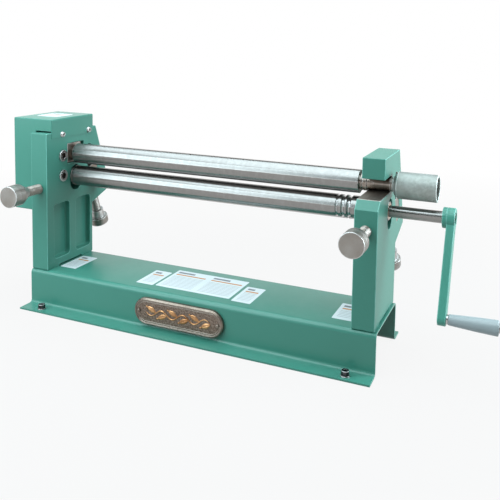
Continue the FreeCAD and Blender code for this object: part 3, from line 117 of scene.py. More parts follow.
class Wiring:
    """Adds nodes to one tree; a socket is linked if the value given is another socket."""

    def __init__(self, tree):
        self.tree = tree

    def put(self, socket, value):
        if isinstance(value, bpy.types.NodeSocket):
            self.tree.links.new(value, socket)
        elif socket.type == "RGBA":
            socket.default_value = (*value, 1)
        else:
            socket.default_value = value

    def add(self, kind, sockets=None, **fields):
        node = self.tree.nodes.new(kind)
        for field, value in fields.items():
            setattr(node, field, value)
        for name, value in (sockets or {}).items():
            self.put(node.inputs[name], value)
        return node

    def maths(self, operation, first, second=0.5, clamp=False):
        node = self.add("ShaderNodeMath", {0: first, 1: second}, operation=operation, use_clamp=clamp)
        return node.outputs[0]

    def times(self, first, second):
        return self.maths("MULTIPLY", first, second)

    def ramp(self, value, low, high, to_low=0.0, to_high=1.0):
        node = self.add("ShaderNodeMapRange", {
            "Value": value, "From Min": low, "From Max": high, "To Min": to_low, "To Max": to_high})
        return node.outputs["Result"]

    def blend(self, share, first, second):
        node = self.add("ShaderNodeMix", {0: share, 6: first, 7: second}, data_type="RGBA")
        return node.outputs[2]

    def scaled(self, vector, factors):
        node = self.add("ShaderNodeVectorMath", {0: vector, 1: factors}, operation="MULTIPLY")
        return node.outputs[0]

    def noise(self, vector, scale, detail=3.0, roughness=0.5):
        node = self.add("ShaderNodeTexNoise", {
            "Vector": vector, "Scale": scale, "Detail": detail, "Roughness": roughness})
        return node.outputs[0]


def shader_group(name, outputs, **numbers):
    """An empty node group that takes a place and named numbers and gives out numbers, with
    the wiring to fill it."""
    tree = bpy.data.node_groups.new(name, "ShaderNodeTree")
    tree.interface.new_socket("Vector", in_out="INPUT", socket_type="NodeSocketVector")
    for label, value in numbers.items():
        socket = tree.interface.new_socket(label, in_out="INPUT", socket_type="NodeSocketFloat")
        socket.default_value = value
    for label in outputs:
        tree.interface.new_socket(label, in_out="OUTPUT", socket_type="NodeSocketFloat")
    start = tree.nodes.new("NodeGroupInput").outputs
    end = tree.nodes.new("NodeGroupOutput").inputs
    return Wiring(tree), start, end


print("wiring ready")

# %% [markdown]
# The studio is plain: a pale floor, a surround that is low in front and tall behind, a dim
# room above it and three large soft lamps, faintly blue against the room's warmer grey. Floor
# and surround are white only to rays that look at them, straight or by way of metal, so they
# put no light on the machine. The lamps are as strong as they need to be for a colour to
# render about as it is written. Polished steel shows the room itself: the lamp in front at
# the left makes the broad bright band on the rolls, and the dim room above the surround
# makes their dark edges.

# %% Floor, room and lamps
WHITE = (1, 1, 1)
FLOOR_SIZE = 40.0
FLOOR_COLOUR = (0.26, 0.26, 0.26)
FLOOR_WHITE, FADE_START, FADE_END = 0.89, 0.5, 1.8
ROOM_LEVELS = ((0.0, 0.14), (0.60, 0.12), (0.80, 0.22), (1.0, 0.40))
ROOM_TINT = (1.04, 1.0, 0.95)
FRONT_TOP, BACKDROP_TOP, SOFT_TOP = 0.15, 0.45, 0.03
RISE_START, RISE_END = 0.1, 0.5
LAMP_TINT = (0.78, 0.94, 1.0)
LAMPS = {  # place and target in metres, width, depth, watts
    "front_lamp": ((-0.76, -0.76, 0.66), (-0.42, 0, 0.28), 1.1, 0.76, 12),
    "overhead_lamp": ((-0.3, -0.1, 1.55), (-0.1, 0, 0.2), 2.4, 1.7, 46),
    "right_lamp": ((1.3, 0.45, 0.65), (0.2, 0, 0.2), 0.9, 0.9, 26),
}


def looking_rays(wire):
    """1 for rays that see their target, from the camera or by way of metal or glass; 0 for
    rays that only gather light."""
    path = wire.add("ShaderNodeLightPath").outputs
    seen = wire.maths("MAXIMUM", path["Is Camera Ray"], path["Is Glossy Ray"])
    return wire.maths("MAXIMUM", seen, path["Is Transmission Ray"])


def floor_material():
    """Pale diffuse floor that looks nearly white, and plain white away from the machine."""
    material = bpy.data.materials.new("studio_floor")
    material.use_nodes = True
    material.node_tree.nodes.clear()
    wire = Wiring(material.node_tree)
    spot = wire.add("ShaderNodeTexCoord").outputs["Object"]
    away = wire.add("ShaderNodeVectorMath", {0: spot}, operation="LENGTH").outputs["Value"]
    share = wire.times(looking_rays(wire), wire.ramp(away, FADE_START, FADE_END, FLOOR_WHITE, 1.0))
    matt = wire.add("ShaderNodeBsdfDiffuse", {"Color": FLOOR_COLOUR}).outputs[0]
    white = wire.add("ShaderNodeEmission", {"Color": WHITE, "Strength": 1.0}).outputs[0]
    both = wire.add("ShaderNodeMixShader", {0: share, 1: matt, 2: white}).outputs[0]
    wire.add("ShaderNodeOutputMaterial", {"Surface": both})
    return material


def make_floor():
    """One large square at the level on which the machine stands."""
    half = FLOOR_SIZE / 2
    mesh = bpy.data.meshes.new("studio_floor")
    mesh.from_pydata([(-half, -half, 0), (half, -half, 0), (half, half, 0), (-half, half, 0)],
                     [], [(0, 1, 2, 3)])
    mesh.materials.append(floor_material())
    floor = bpy.data.objects.new("studio_floor", mesh)
    scene.collection.objects.link(floor)


def make_room():
    """World light by direction: dim, faintly warm room levels by height, with the surround
    below a top that rises from front to back."""
    world = bpy.data.worlds.new("studio_room")
    scene.world = world
    world.use_nodes = True
    world.node_tree.nodes.clear()
    wire = Wiring(world.node_tree)
    direction = wire.add("ShaderNodeTexCoord").outputs["Generated"]
    parts = wire.add("ShaderNodeSeparateXYZ", {0: direction}).outputs
    height = parts["Z"]
    ramp = wire.add("ShaderNodeValToRGB", {"Fac": wire.ramp(height, -1.0, 1.0)})
    stops = ramp.color_ramp.elements
    while len(stops) < len(ROOM_LEVELS):
        stops.new(0.5)
    for stop, (position, level) in zip(stops, ROOM_LEVELS):
        stop.position = position
        stop.color = (*(level * tint for tint in ROOM_TINT), 1)
    rise = wire.ramp(parts["Y"], RISE_START, RISE_END, 0.0, BACKDROP_TOP - FRONT_TOP)
    low = wire.ramp(wire.maths("SUBTRACT", height, rise), FRONT_TOP, FRONT_TOP - SOFT_TOP)
    light = wire.blend(wire.times(looking_rays(wire), low), ramp.outputs[0], WHITE)
    glow = wire.add("ShaderNodeBackground", {"Color": light, "Strength": 1.0})
    wire.add("ShaderNodeOutputWorld", {"Surface": glow.outputs[0]})


def soft_lamp(name, spot, target, width, depth, power):
    """A rectangular area lamp at a spot, turned towards a target, both in metres."""
    data = bpy.data.lights.new(name, "AREA")
    data.shape = "RECTANGLE"
    data.size, data.size_y, data.energy = width, depth, power
    data.color = LAMP_TINT
    lamp = bpy.data.objects.new(name, data)
    scene.collection.objects.link(lamp)
    lamp.location = spot
    lamp.rotation_euler = (Vector(target) - Vector(spot)).to_track_quat("-Z", "Y").to_euler()


make_floor()
make_room()
for name, numbers in LAMPS.items():
    soft_lamp(name, *numbers)
print("lamps:", ", ".join(LAMPS))

# %% [markdown]
# ## Shapes as arrays
# Nearly every piece is either turned on a lathe or cut from a plate. Both start from an
# outline with few corners. Real corners are never sharp, so `eased` swaps each one for a
# small curve, with one more point beyond it that keeps the flat face flat when shaded.

# %% Outlines
ARC_STEPS = 4
HOLD = 0.25        # how far past a curve its last point lies, as a share of the curve's reach
SIDE_SHARE = 0.4   # how much of a side one curve may take
SAME = 1e-5        # points nearer than this are one


def eased(corners, radius, closed=False):
    """Outline whose corners are small curves: B(t) = (1-t)^2 start + 2t(1-t) corner + t^2 end,
    where start and end lie on both sides at radius times the tangent of half the turn."""
    points = np.asarray(corners, float)
    middle = points if closed else points[1:-1]
    before = (np.roll(points, 1, 0) if closed else points[:-2]) - middle
    after = (np.roll(points, -1, 0) if closed else points[2:]) - middle
    span_back = np.linalg.norm(before, axis=1)
    span_on = np.linalg.norm(after, axis=1)
    before /= span_back[:, None]
    after /= span_on[:, None]
    turn = math.pi - np.arccos(np.clip((before * after).sum(1), -1, 1))
    room = SIDE_SHARE * np.minimum(span_back, span_on)
    reach = np.minimum(np.asarray(radius) * np.tan(turn / 2), room)
    start = middle + before * reach[:, None]
    end = middle + after * reach[:, None]
    t = np.linspace(0, 1, ARC_STEPS + 1)[None, :, None]
    curve = (1 - t) ** 2 * start[:, None] + 2 * t * (1 - t) * middle[:, None] + t ** 2 * end[:, None]
    hold = (HOLD * reach)[:, None]
    first = (start + before * hold)[:, None]
    last = (end + after * hold)[:, None]
    line = np.concatenate([first, curve, last], 1).reshape(-1, points.shape[1])
    if not closed:
        line = np.concatenate([points[:1], line, points[-1:]])
    step = np.linalg.norm(np.diff(line, axis=0), axis=1)
    kept = line[np.concatenate([[True], step > SAME])]
    if closed and np.linalg.norm(kept[0] - kept[-1]) < SAME:
        kept = kept[:-1]
    return kept


def arc(centre, radius, start, end, steps=24):
    """Points on a circle from a start to an end angle in degrees, both included."""
    t = np.radians(np.linspace(start, end, steps + 1))
    return np.stack([centre[0] + radius * np.cos(t), centre[1] + radius * np.sin(t)], 1)


def ring_loop(centre, radius, steps=64):
    """A closed circle without its repeated last point."""
    return arc(centre, radius, 0, 360, steps)[:-1]


def slot_loop(low, high, radius, steps=20):
    """A slot outline: half circles about both centres; the straight sides join them."""
    lean = math.degrees(math.atan2(high[1] - low[1], high[0] - low[0]))
    return np.concatenate([arc(high, radius, lean - 90, lean + 90, steps),
                           arc(low, radius, lean + 90, lean + 270, steps)])


def box_loop(left, right, low, high, corner, steps=8):
    """A rectangle whose corners are quarter circles."""
    spots = [(right - corner, low + corner), (right - corner, high - corner),
             (left + corner, high - corner), (left + corner, low + corner)]
    return np.concatenate([arc(spot, corner, 90 * k - 90, 90 * k, steps)
                           for k, spot in enumerate(spots)])


def area_of(loop):
    """Signed area by the shoelace sum: positive if the loop runs anticlockwise."""
    after = np.roll(loop, -1, 0)
    return 0.5 * (loop[:, 0] * after[:, 1] - loop[:, 1] * after[:, 0]).sum()


def mitre(line, closed=True):
    """Mitred unit offset at each point, to the left of the way the line runs: the sum of both
    sides' normals over one plus their dot product. The ends of an open line have one side."""
    side = np.roll(line, -1, 0) - line if closed else np.diff(line, axis=0)
    side /= np.linalg.norm(side, axis=1)[:, None]
    normal = np.stack([-side[:, 1], side[:, 0]], 1)
    before = np.roll(normal, 1, 0) if closed else np.concatenate([normal[:1], normal])
    after = normal if closed else np.concatenate([normal, normal[-1:]])
    return (before + after) / (1 + (before * after).sum(1))[:, None]


print("a slot of", len(slot_loop((0, 0), (0, 5), 2)), "points")

# %% [markdown]
# A shell is one closed surface: its points in machine millimetres, its quads and triangles,
# and for each point how far it lies on a rounded outer edge, which finishes read for wear and,
# on enamel, for a painted highlight. Shells are welded and turned outwards by numbers alone:
# the signed volume tells which way the faces look.

# %% Shells
WELD = 1e4   # points are one where they agree to a ten-thousandth of a millimetre


def ring_quads(rows, columns, closed=False):
    """Quads between the rings of a grid, and from the last ring to the first if closed."""
    row = np.arange(rows if closed else rows - 1)[:, None]
    column = np.arange(columns)[None]
    after_row, after_column = (row + 1) % rows, (column + 1) % columns
    faces = [row * columns + column, row * columns + after_column,
             after_row * columns + after_column, after_row * columns + column]
    return np.stack([np.broadcast_to(f, (len(row), columns)).ravel() for f in faces], 1)


def shell(points, quads, triangles=None, edge=None):
    """Welds equal points, drops empty faces and turns the surface outwards."""
    points = np.asarray(points, float).reshape(-1, 3)
    edge = np.zeros(len(points)) if edge is None else np.asarray(edge, float).ravel()
    triangles = np.zeros((0, 3), int) if triangles is None else np.asarray(triangles, int)
    _, first, index = np.unique(np.round(points * WELD).astype(np.int64), axis=0,
                                return_index=True, return_inverse=True)
    points, edge, index = points[first], edge[first], index.ravel()
    quads, triangles = index[quads], index[triangles]
    same = quads == np.roll(quads, -1, 1)
    thin = same.sum(1) == 1
    cut = quads[thin][~same[thin]].reshape(-1, 3)
    quads = quads[same.sum(1) == 0]
    triangles = np.concatenate([triangles, cut])
    repeated = (triangles == np.roll(triangles, -1, 1)).any(1)
    triangles = triangles[~repeated]
    every = np.concatenate([quads[:, [0, 1, 2]], quads[:, [0, 2, 3]], triangles])
    a, b, c = points[every[:, 0]], points[every[:, 1]], points[every[:, 2]]
    if (a * np.cross(b, c)).sum() < 0:
        quads, triangles = quads[:, ::-1], triangles[:, ::-1]
    return {"points": points, "quads": quads, "triangles": triangles, "edge": edge}


def open_edges(quads, triangles):
    """How many edges don't have exactly two faces, one running each way."""
    pairs = [np.stack([f, np.roll(f, -1, 1)], -1).reshape(-1, 2) for f in (quads, triangles)]
    ends = np.concatenate(pairs)
    _, counts = np.unique(np.sort(ends, 1), axis=0, return_counts=True)
    return int((counts != 2).sum())


def fill_flat(loops, upwards, least=0.0):
    """Triangles over a flat face between its loops, given as (points, indices), all looking
    the same way: a triangle whose signed area has the wrong sign is turned round, and one
    whose doubled area is under the least is left out."""
    index = np.concatenate([which for _, which in loops])
    flat = np.concatenate([points for points, _ in loops])
    faces = np.array(tessellate_polygon([[Vector((*p, 0)) for p in points] for points, _ in loops]))
    a, b, c = flat[faces[:, 0]], flat[faces[:, 1]], flat[faces[:, 2]]
    u, v = b - a, c - a
    turn = u[:, 0] * v[:, 1] - u[:, 1] * v[:, 0]
    wrong = (turn > 0) != upwards
    faces[wrong] = faces[wrong][:, ::-1]
    return index[faces[np.abs(turn) >= least]]


print("a ring of 8 over 3 rows has", len(ring_quads(3, 8)), "quads")

# %% [markdown]
# A piece is one mesh of some shells. Blender takes points, corners and faces as whole arrays,
# and each point's edge value goes along as an attribute that the finishes read for wear and
# painted edge highlight. Every piece rides on a body of the frame and may stand for a imported node.

# %% Pieces
SMOOTH_ANGLE = math.radians(32)


def build_mesh(name, shells, materials):
    """One mesh of all shells, and how many of its edges are open."""
    starts = np.cumsum([0] + [len(s["points"]) for s in shells])
    points = to_metres(np.concatenate([s["points"] for s in shells]))
    quads = np.concatenate([s["quads"] + start for s, start in zip(shells, starts)])
    triangles = np.concatenate([s["triangles"] + start for s, start in zip(shells, starts)])
    loose = open_edges(quads, triangles)
    corners = np.concatenate([quads.ravel(), triangles.ravel()]).astype(np.int32)
    totals = np.concatenate([np.full(len(quads), 4), np.full(len(triangles), 3)])
    mesh = bpy.data.meshes.new(name)
    mesh.vertices.add(len(points))
    mesh.vertices.foreach_set("co", points.astype(np.float32).ravel())
    mesh.loops.add(len(corners))
    mesh.loops.foreach_set("vertex_index", corners)
    mesh.polygons.add(len(totals))
    mesh.polygons.foreach_set("loop_start", (np.cumsum(totals) - totals).astype(np.int32))
    mesh.update(calc_edges=True)
    mesh.shade_smooth()
    mesh.set_sharp_from_angle(angle=SMOOTH_ANGLE)
    edge_mask = mesh.attributes.new("rounded_edge", "FLOAT", "POINT")
    edge_mask.data.foreach_set("value", np.concatenate([s["edge"] for s in shells]).astype(np.float32))
    for material in materials:
        mesh.materials.append(material)
    return mesh, loose


def make_piece(name, shells, materials, body, stands_for=None):
    """A finished piece at the origin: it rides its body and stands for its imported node."""
    materials = materials if isinstance(materials, list) else [materials]
    mesh, loose = build_mesh(name, shells, materials)
    piece = bpy.data.objects.new(name, mesh)
    scene.collection.objects.link(piece)
    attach(piece, body)
    if stands_for:
        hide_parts(stands_for)
    print("%-22s %6d faces, %d open edges" % (name, len(mesh.polygons), loose))
    return piece


# %% [markdown]
# On a lathe the tool's path is the whole shape. A turned shell carries that path round an
# axis. A third number along the path, from 0 to 1, changes the ring from a circle to a
# hexagon, which makes sockets for hexagon keys in one go with the screw's head.

# %% Turned shells
X_AXIS, Y_AXIS, Z_AXIS = np.eye(3)
TURN_STEPS, FINE_STEPS, SMALL_STEPS = 96, 128, 48
FULL_WEAR_TURN = 0.25   # a heading that turns by this many radians a row is fully worn


def side_vectors(axis):
    """Two unit vectors square to the axis and to each other."""
    guide = Z_AXIS if abs(axis[2]) < 0.9 else X_AXIS
    first = np.cross(axis, guide)
    first /= np.linalg.norm(first)
    return first, np.cross(axis, first)


def corner_wear(rows):
    """Wear from 0 to 1 at each row of a profile, by how far its heading turns there."""
    along = np.gradient(rows, axis=0)
    heading = np.unwrap(np.arctan2(along[:, 1], along[:, 0]))
    return np.clip(np.abs(np.gradient(heading)) / FULL_WEAR_TURN, 0, 1)


def round_axis(station, reach, centre, axis, spin=0.0):
    """Points centre + s axis + r (cos t first + sin t second): a row for each station s, and
    a column for each step of the angle t."""
    t = np.arange(reach.shape[1]) * 2 * math.pi / reach.shape[1]
    first, second = side_vectors(np.asarray(axis, float))
    way = np.cos(t + spin)[:, None] * first + np.sin(t + spin)[:, None] * second
    return (np.asarray(centre, float) + station[:, None, None] * np.asarray(axis)
            + reach[:, :, None] * way[None])


def turned(profile, centre, axis, closed=False, steps=TURN_STEPS, spin=0.0):
    """Surface of revolution of a profile: its radius is the reach all round, or radius /
    cos(t mod 60 - 30) where the third number is 1."""
    profile = np.asarray(profile, float)
    station, radius = profile[:, 0], profile[:, 1]
    six = profile[:, 2] if profile.shape[1] > 2 else np.zeros(len(profile))
    t = np.arange(steps) * 2 * math.pi / steps
    hexagon = 1 / np.cos(np.mod(t, math.pi / 3) - math.pi / 6)
    reach = radius[:, None] * (1 - six[:, None] + six[:, None] * hexagon[None])
    points = round_axis(station, reach, centre, axis, spin)
    edge = np.repeat(corner_wear(profile[:, :2]), steps)
    return shell(points, ring_quads(len(profile), steps, closed), edge=edge)


def rod(start, end, radius, centre, axis):
    """A plain pin with eased ends."""
    return turned(eased([(start, 0), (start, radius), (end, radius), (end, 0)], 0.5), centre, axis)


def sleeve(start, end, inside, outside, centre, axis, ease=0.4):
    """A bush or ring as a closed profile carried round the axis."""
    corners = [(start, inside), (start, outside), (end, outside), (end, inside)]
    return turned(eased(corners, ease, closed=True), centre, axis, closed=True)


def socket_screw(seat, head, head_radius, shank, shank_radius, socket, depth, centre, axis,
                 crown=None, spin=0.3):
    """A socket screw: from the socket's floor out over the head and down the shank."""
    flat, top, tip = socket / 2, seat + head, seat - shank
    crown = head_radius if crown is None else crown
    corners = [(top - depth, 0, 1), (top - depth, flat, 1), (top, flat, 1), (top, crown, 0),
               (seat, head_radius, 0), (seat, shank_radius, 0), (tip, shank_radius, 0), (tip, 0, 0)]
    return turned(eased(corners, [0.2, 0.35, 0.9, 0.5, 0.3, 0.4]), centre, axis, spin=spin)


print("lathe ready:", TURN_STEPS, "steps a turn")

# %% [markdown]
# Castings, folded sheet and flat bar are plates: an outline, holes through it and pockets in
# its faces. Each loop becomes a band of rings that roll over the edge in a quarter circle,
# run down the wall and roll over again, and the flat faces between are filled last.

# %% Plates
EDGE_STEPS = 3
SLIVER = 1e-9   # doubled area, in square millimetres, under which a flat triangle is dropped


def edge_roll(radius):
    """Inset, depth and wear of the rings over a rounded edge, from the face to the wall: a
    quarter circle with its middle worn most. The first and last rings lie just past the
    curve, so that neither side takes its wear."""
    t = np.linspace(0, math.pi / 2, EDGE_STEPS + 1)
    past = radius * (1 + HOLD)
    inset = np.concatenate([[past], radius * (1 - np.sin(t)), [0.0]])
    depth = np.concatenate([[0.0], radius * (1 - np.cos(t)), [past]])
    wear = np.concatenate([[0.0], 0.35 + 0.65 * np.sin(2 * t), [0.0]])
    return inset, depth, wear


def plate(outline, thick, edge, place, holes=(), front_pockets=(), back_pockets=(), hole_edge=None):
    """A slab from depth 0 to its thickness. A pocket is (loop, depth, draft, floor radius).
    place(a, b, depth) turns the plate's own coordinates into machine millimetres."""
    hole_edge = edge if hole_edge is None else hole_edge
    rows, wears, quads, count = [], [], [], 0
    caps, floors = {"front": [], "back": []}, []

    def band(loop, inset, depth, wear):
        nonlocal count
        off = mitre(loop)
        flat = loop[None] + off[None] * inset[:, None, None]
        level = np.broadcast_to(depth[:, None], flat.shape[:2])
        rows.append(np.concatenate([flat, level[..., None]], 2).reshape(-1, 3))
        wears.append(np.repeat(wear, len(loop)))
        quads.append(ring_quads(len(inset), len(loop)) + count)
        first = np.arange(len(loop)) + count
        count += len(inset) * len(loop)
        return flat[0], first, flat[-1], first + (len(inset) - 1) * len(loop)

    def through(loop, radius):
        inset, depth, wear = edge_roll(radius)
        near, near_index, far, far_index = band(
            loop, np.concatenate([inset, inset[::-1]]),
            np.concatenate([depth, thick - depth[::-1]]), np.concatenate([wear, wear[::-1]]))
        caps["front"].append((near, near_index))
        caps["back"].append((far, far_index))

    def pocket(loop, depth, draft, floor, face):
        inset, level, wear = edge_roll(hole_edge)
        t = np.linspace(0, math.pi / 2, EDGE_STEPS + 1)
        inset = np.concatenate([inset, -draft - floor * (1 - np.cos(t)),
                                [-draft - floor * (1 + HOLD)]])
        level = np.concatenate([level, depth - floor * (1 - np.sin(t)), [depth]])
        wear = np.concatenate([wear, np.zeros(len(t) + 1)])
        level = level if face == "front" else thick - level
        near, near_index, far, far_index = band(loop, inset, level, wear)
        caps[face].append((near, near_index))
        floors.append((far, far_index))

    outer = outline if area_of(outline) > 0 else outline[::-1]
    through(outer, edge)
    for loop in holes:
        through(loop if area_of(loop) < 0 else loop[::-1], hole_edge)
    for face, pockets in (("front", front_pockets), ("back", back_pockets)):
        for loop, depth, draft, floor in pockets:
            pocket(loop if area_of(loop) < 0 else loop[::-1], depth, draft, floor, face)

    faces = [(caps["front"], False), (caps["back"], True)]
    faces += [([floor], number >= len(front_pockets)) for number, floor in enumerate(floors)]
    triangles = [fill_flat(loops, upwards, SLIVER) for loops, upwards in faces]
    local = np.concatenate(rows)
    points = place(local[:, 0], local[:, 1], local[:, 2])
    return shell(points, np.concatenate(quads), np.concatenate(triangles), np.concatenate(wears))


def across_x(start):
    """Places a plate drawn in (Y, Z) and as thick as it runs along X."""
    return lambda a, b, depth: np.stack([start + depth, a, b], 1)


def across_y(start):
    """Places a plate drawn in (X, Z) and as thick as it runs along Y."""
    return lambda a, b, depth: np.stack([a, start + depth, b], 1)


def across_z(start):
    """Places a plate drawn in (X, Y) and as thick as it runs along Z."""
    return lambda a, b, depth: np.stack([a, b, start + depth], 1)


print("plates ready")

# %% [markdown]
# ## Finishes
# Effects that several finishes share are node groups, made once: soft mottling, the skin of
# sprayed enamel, lathe marks, wear and painted highlight on outer edges and dust on what faces up. They
# give out
# masks and heights only; each material keeps its own shader and decides what to do with them.

# %% Shared effects
ROUND_SCALE = 14.0   # how fast lathe marks change round the axis, per metre


def mottling_group():
    """Mask: fractal noise stretched to the full range about its middle."""
    wire, given, out = shader_group("mottling", ["Mask"], Scale=20.0, Contrast=0.25)
    cloud = wire.noise(given["Vector"], given["Scale"], 5.0, 0.6)
    low = wire.maths("SUBTRACT", 0.5, given["Contrast"])
    high = wire.maths("ADD", 0.5, given["Contrast"])
    wire.put(out["Mask"], wire.ramp(cloud, low, high))
    return wire.tree


def paint_skin_group():
    """Height: broad ripples of sprayed paint with a finer grain on them."""
    wire, given, out = shader_group("paint_skin", ["Height"], Scale=300.0, Grain=0.3)
    ripple = wire.noise(given["Vector"], given["Scale"], 1.0)
    fine = wire.noise(given["Vector"], wire.times(given["Scale"], 4.0), 2.0)
    wire.put(out["Height"], wire.maths("ADD", ripple, wire.times(fine, given["Grain"])))
    return wire.tree


def lathe_marks_group():
    """Mask and height: noise that changes fast along the axis (X) and slowly round it."""
    wire, given, out = shader_group("lathe_marks", ["Mask", "Height"], Fineness=900.0)
    parts = wire.add("ShaderNodeSeparateXYZ", {0: given["Vector"]}).outputs
    drawn = wire.add("ShaderNodeCombineXYZ", {
        "X": wire.times(parts["X"], given["Fineness"]), "Y": wire.times(parts["Y"], ROUND_SCALE),
        "Z": wire.times(parts["Z"], ROUND_SCALE)}).outputs[0]
    fine = wire.noise(drawn, 1.0, 2.0)
    broad = wire.noise(wire.scaled(drawn, (0.07, 0.5, 0.5)), 1.0, 3.0)
    mixed = wire.maths("ADD", wire.times(fine, 0.55), wire.times(broad, 0.45))
    wire.put(out["Mask"], wire.ramp(mixed, 0.36, 0.64))
    wire.put(out["Height"], fine)
    return wire.tree


def edge_wear_group():
    """Mask: the mesh's own edge value, broken up by noise: wear, and on enamel partly a painted
    highlight.
    """
    wire, given, out = shader_group("edge_wear_and_highlight", ["Mask"], Scale=60.0, Amount=0.5)
    edge = wire.add("ShaderNodeAttribute", attribute_name="rounded_edge").outputs["Fac"]
    broken = wire.noise(given["Vector"], given["Scale"], 4.0, 0.65)
    level = wire.maths("ADD", broken, wire.times(edge, given["Amount"]))
    rubbed = wire.ramp(level, 0.62, 0.86)
    wire.put(out["Mask"], wire.maths("MULTIPLY", rubbed, edge, clamp=True))
    return wire.tree


def dust_group():
    """Mask: faint dust on faces that look up, thicker in patches."""
    wire, given, out = shader_group("dust", ["Mask"], Amount=0.2)
    normal = wire.add("ShaderNodeNewGeometry").outputs["Normal"]
    upward = wire.add("ShaderNodeSeparateXYZ", {0: normal}).outputs["Z"]
    patches = wire.ramp(wire.noise(given["Vector"], 25.0, 6.0, 0.7), 0.35, 0.75)
    lying = wire.times(wire.ramp(upward, 0.55, 1.0), patches)
    wire.put(out["Mask"], wire.maths("MULTIPLY", lying, given["Amount"], clamp=True))
    return wire.tree


MAKERS = (mottling_group, paint_skin_group, lathe_marks_group, edge_wear_group, dust_group)
GROUPS = {tree.name: tree for tree in (make() for make in MAKERS)}
print("shared effects:", ", ".join(GROUPS))

# %% [markdown]
# A finish starts from a Principled shader with its plain numbers set on its own sockets.
# The helper also gives the place on the piece in metres, moved and turned to the axis of a
# lathe-made piece where it has one.

# %% Starting a finish


class Finish(Wiring):
    """A material with its shader, its output and the place vector that its patterns read."""

    def __init__(self, name, centre=(0, 0, 0), lean=(0, 0, 0), **numbers):
        self.material = bpy.data.materials.new(name)
        self.material.use_nodes = True
        super().__init__(self.material.node_tree)
        self.tree.nodes.clear()
        spot = self.add("ShaderNodeTexCoord").outputs["Object"]
        self.spot = self.add("ShaderNodeMapping", {
            "Vector": spot, "Location": centre, "Rotation": lean}, vector_type="TEXTURE").outputs[0]
        self.shader = self.add("ShaderNodeBsdfPrincipled")
        for socket, number in numbers.items():
            self.shader.inputs[socket.replace("_", " ")].default_value = number
        self.add("ShaderNodeOutputMaterial", {"Surface": self.shader.outputs[0]})

    def effect(self, name, **sockets):
        node = self.add("ShaderNodeGroup", node_tree=GROUPS[name])
        for label, value in {"Vector": self.spot, **sockets}.items():
            self.put(node.inputs[label], value)
        return node.outputs

    def clouds(self, scale, contrast):
        return self.effect("mottling", Scale=scale, Contrast=contrast)["Mask"]

    def wear(self, scale, amount):
        return self.effect("edge_wear_and_highlight", Scale=scale, Amount=amount)["Mask"]

    def colour(self, value):
        self.put(self.shader.inputs["Base Color"], value)

    def roughness(self, value):
        self.put(self.shader.inputs["Roughness"], value)

    def relief(self, height, distance, strength=1.0):
        bump = self.add("ShaderNodeBump", {
            "Height": height, "Distance": distance, "Strength": strength})
        self.put(self.shader.inputs["Normal"], bump.outputs[0])


# %% [markdown]
# The green enamel is sprayed over castings and sheet alike. On castings the sand-cast skin
# shows through as soft pebbling; on sheet the coat is smoother. Both are a shade lighter on
# outer edges, partly where the coat is thin and partly as a painted highlight. The two greens
# of the coat are close together, since sprayed paint varies only a little.

# %% Enamel
ENAMEL_DEEP = (0.043, 0.208, 0.158)
ENAMEL_LIGHT = (0.047, 0.220, 0.168)
# paler green on outer edges: partly a thin coat, partly a painted highlight
ENAMEL_THIN_AND_HIGHLIT = (0.16, 0.44, 0.37)
DUST_GREY = (0.42, 0.44, 0.42)


def enamel(name, skin_scale, grain, depth, roughness, lift):
    """Satin enamel: two greens in soft clouds, paler on edges for a thin coat and a painted highlight,
    dust on top, rippled skin. Lift makes the greens paler."""
    finish = Finish(name, Metallic=0.0, Specular_IOR_Level=0.4, Coat_Weight=0.12, Coat_Roughness=0.25)
    clouds = finish.clouds(16.0, 0.35)
    deep, light = (tuple(lift * c for c in green) for green in (ENAMEL_DEEP, ENAMEL_LIGHT))
    colour = finish.blend(clouds, deep, light)
    # outer edges paled: partly thin coat, partly a painted highlight
    edge_mask = finish.wear(55.0, 0.55)
    colour = finish.blend(edge_mask, colour, ENAMEL_THIN_AND_HIGHLIT)
    dusty = finish.effect("dust", Amount=0.06)["Mask"]
    finish.colour(finish.blend(dusty, colour, DUST_GREY))
    patchy = finish.clouds(90.0, 0.35)
    finish.roughness(finish.ramp(patchy, 0.0, 1.0, roughness - 0.01, roughness + 0.02))
    finish.relief(finish.effect("paint_skin", Scale=skin_scale, Grain=grain)["Height"], depth)
    return finish.material


ENAMELS = {  # scale, grain and depth in metres of its skin, roughness, lift
    "cast_enamel": (320.0, 0.5, 0.00014, 0.42, 1.0),
    "sheet_enamel": (420.0, 0.25, 0.00005, 0.29, 1.0),
    # the crank's row lifts the same enamel paler: painted light for the extra light on the crank
    "crank_enamel": (320.0, 0.5, 0.00012, 0.38, 1.35),
}
cast_enamel, sheet_enamel, crank_enamel = (enamel(name, *row) for name, row in ENAMELS.items())
print("enamels:", ", ".join(ENAMELS))

# %% [markdown]
# Steel is told apart by how it was cut. The rolls are ground and polished: fine rings round
# them, and small changes in gloss. Knobs and screws carry coarser lathe marks, blocks and
# washers are milled or stamped, and gears are dark with oil.

# %% Steels
RUBBED_STEEL = (0.85, 0.86, 0.87)
BROWN_STAIN = (0.16, 0.10, 0.06)


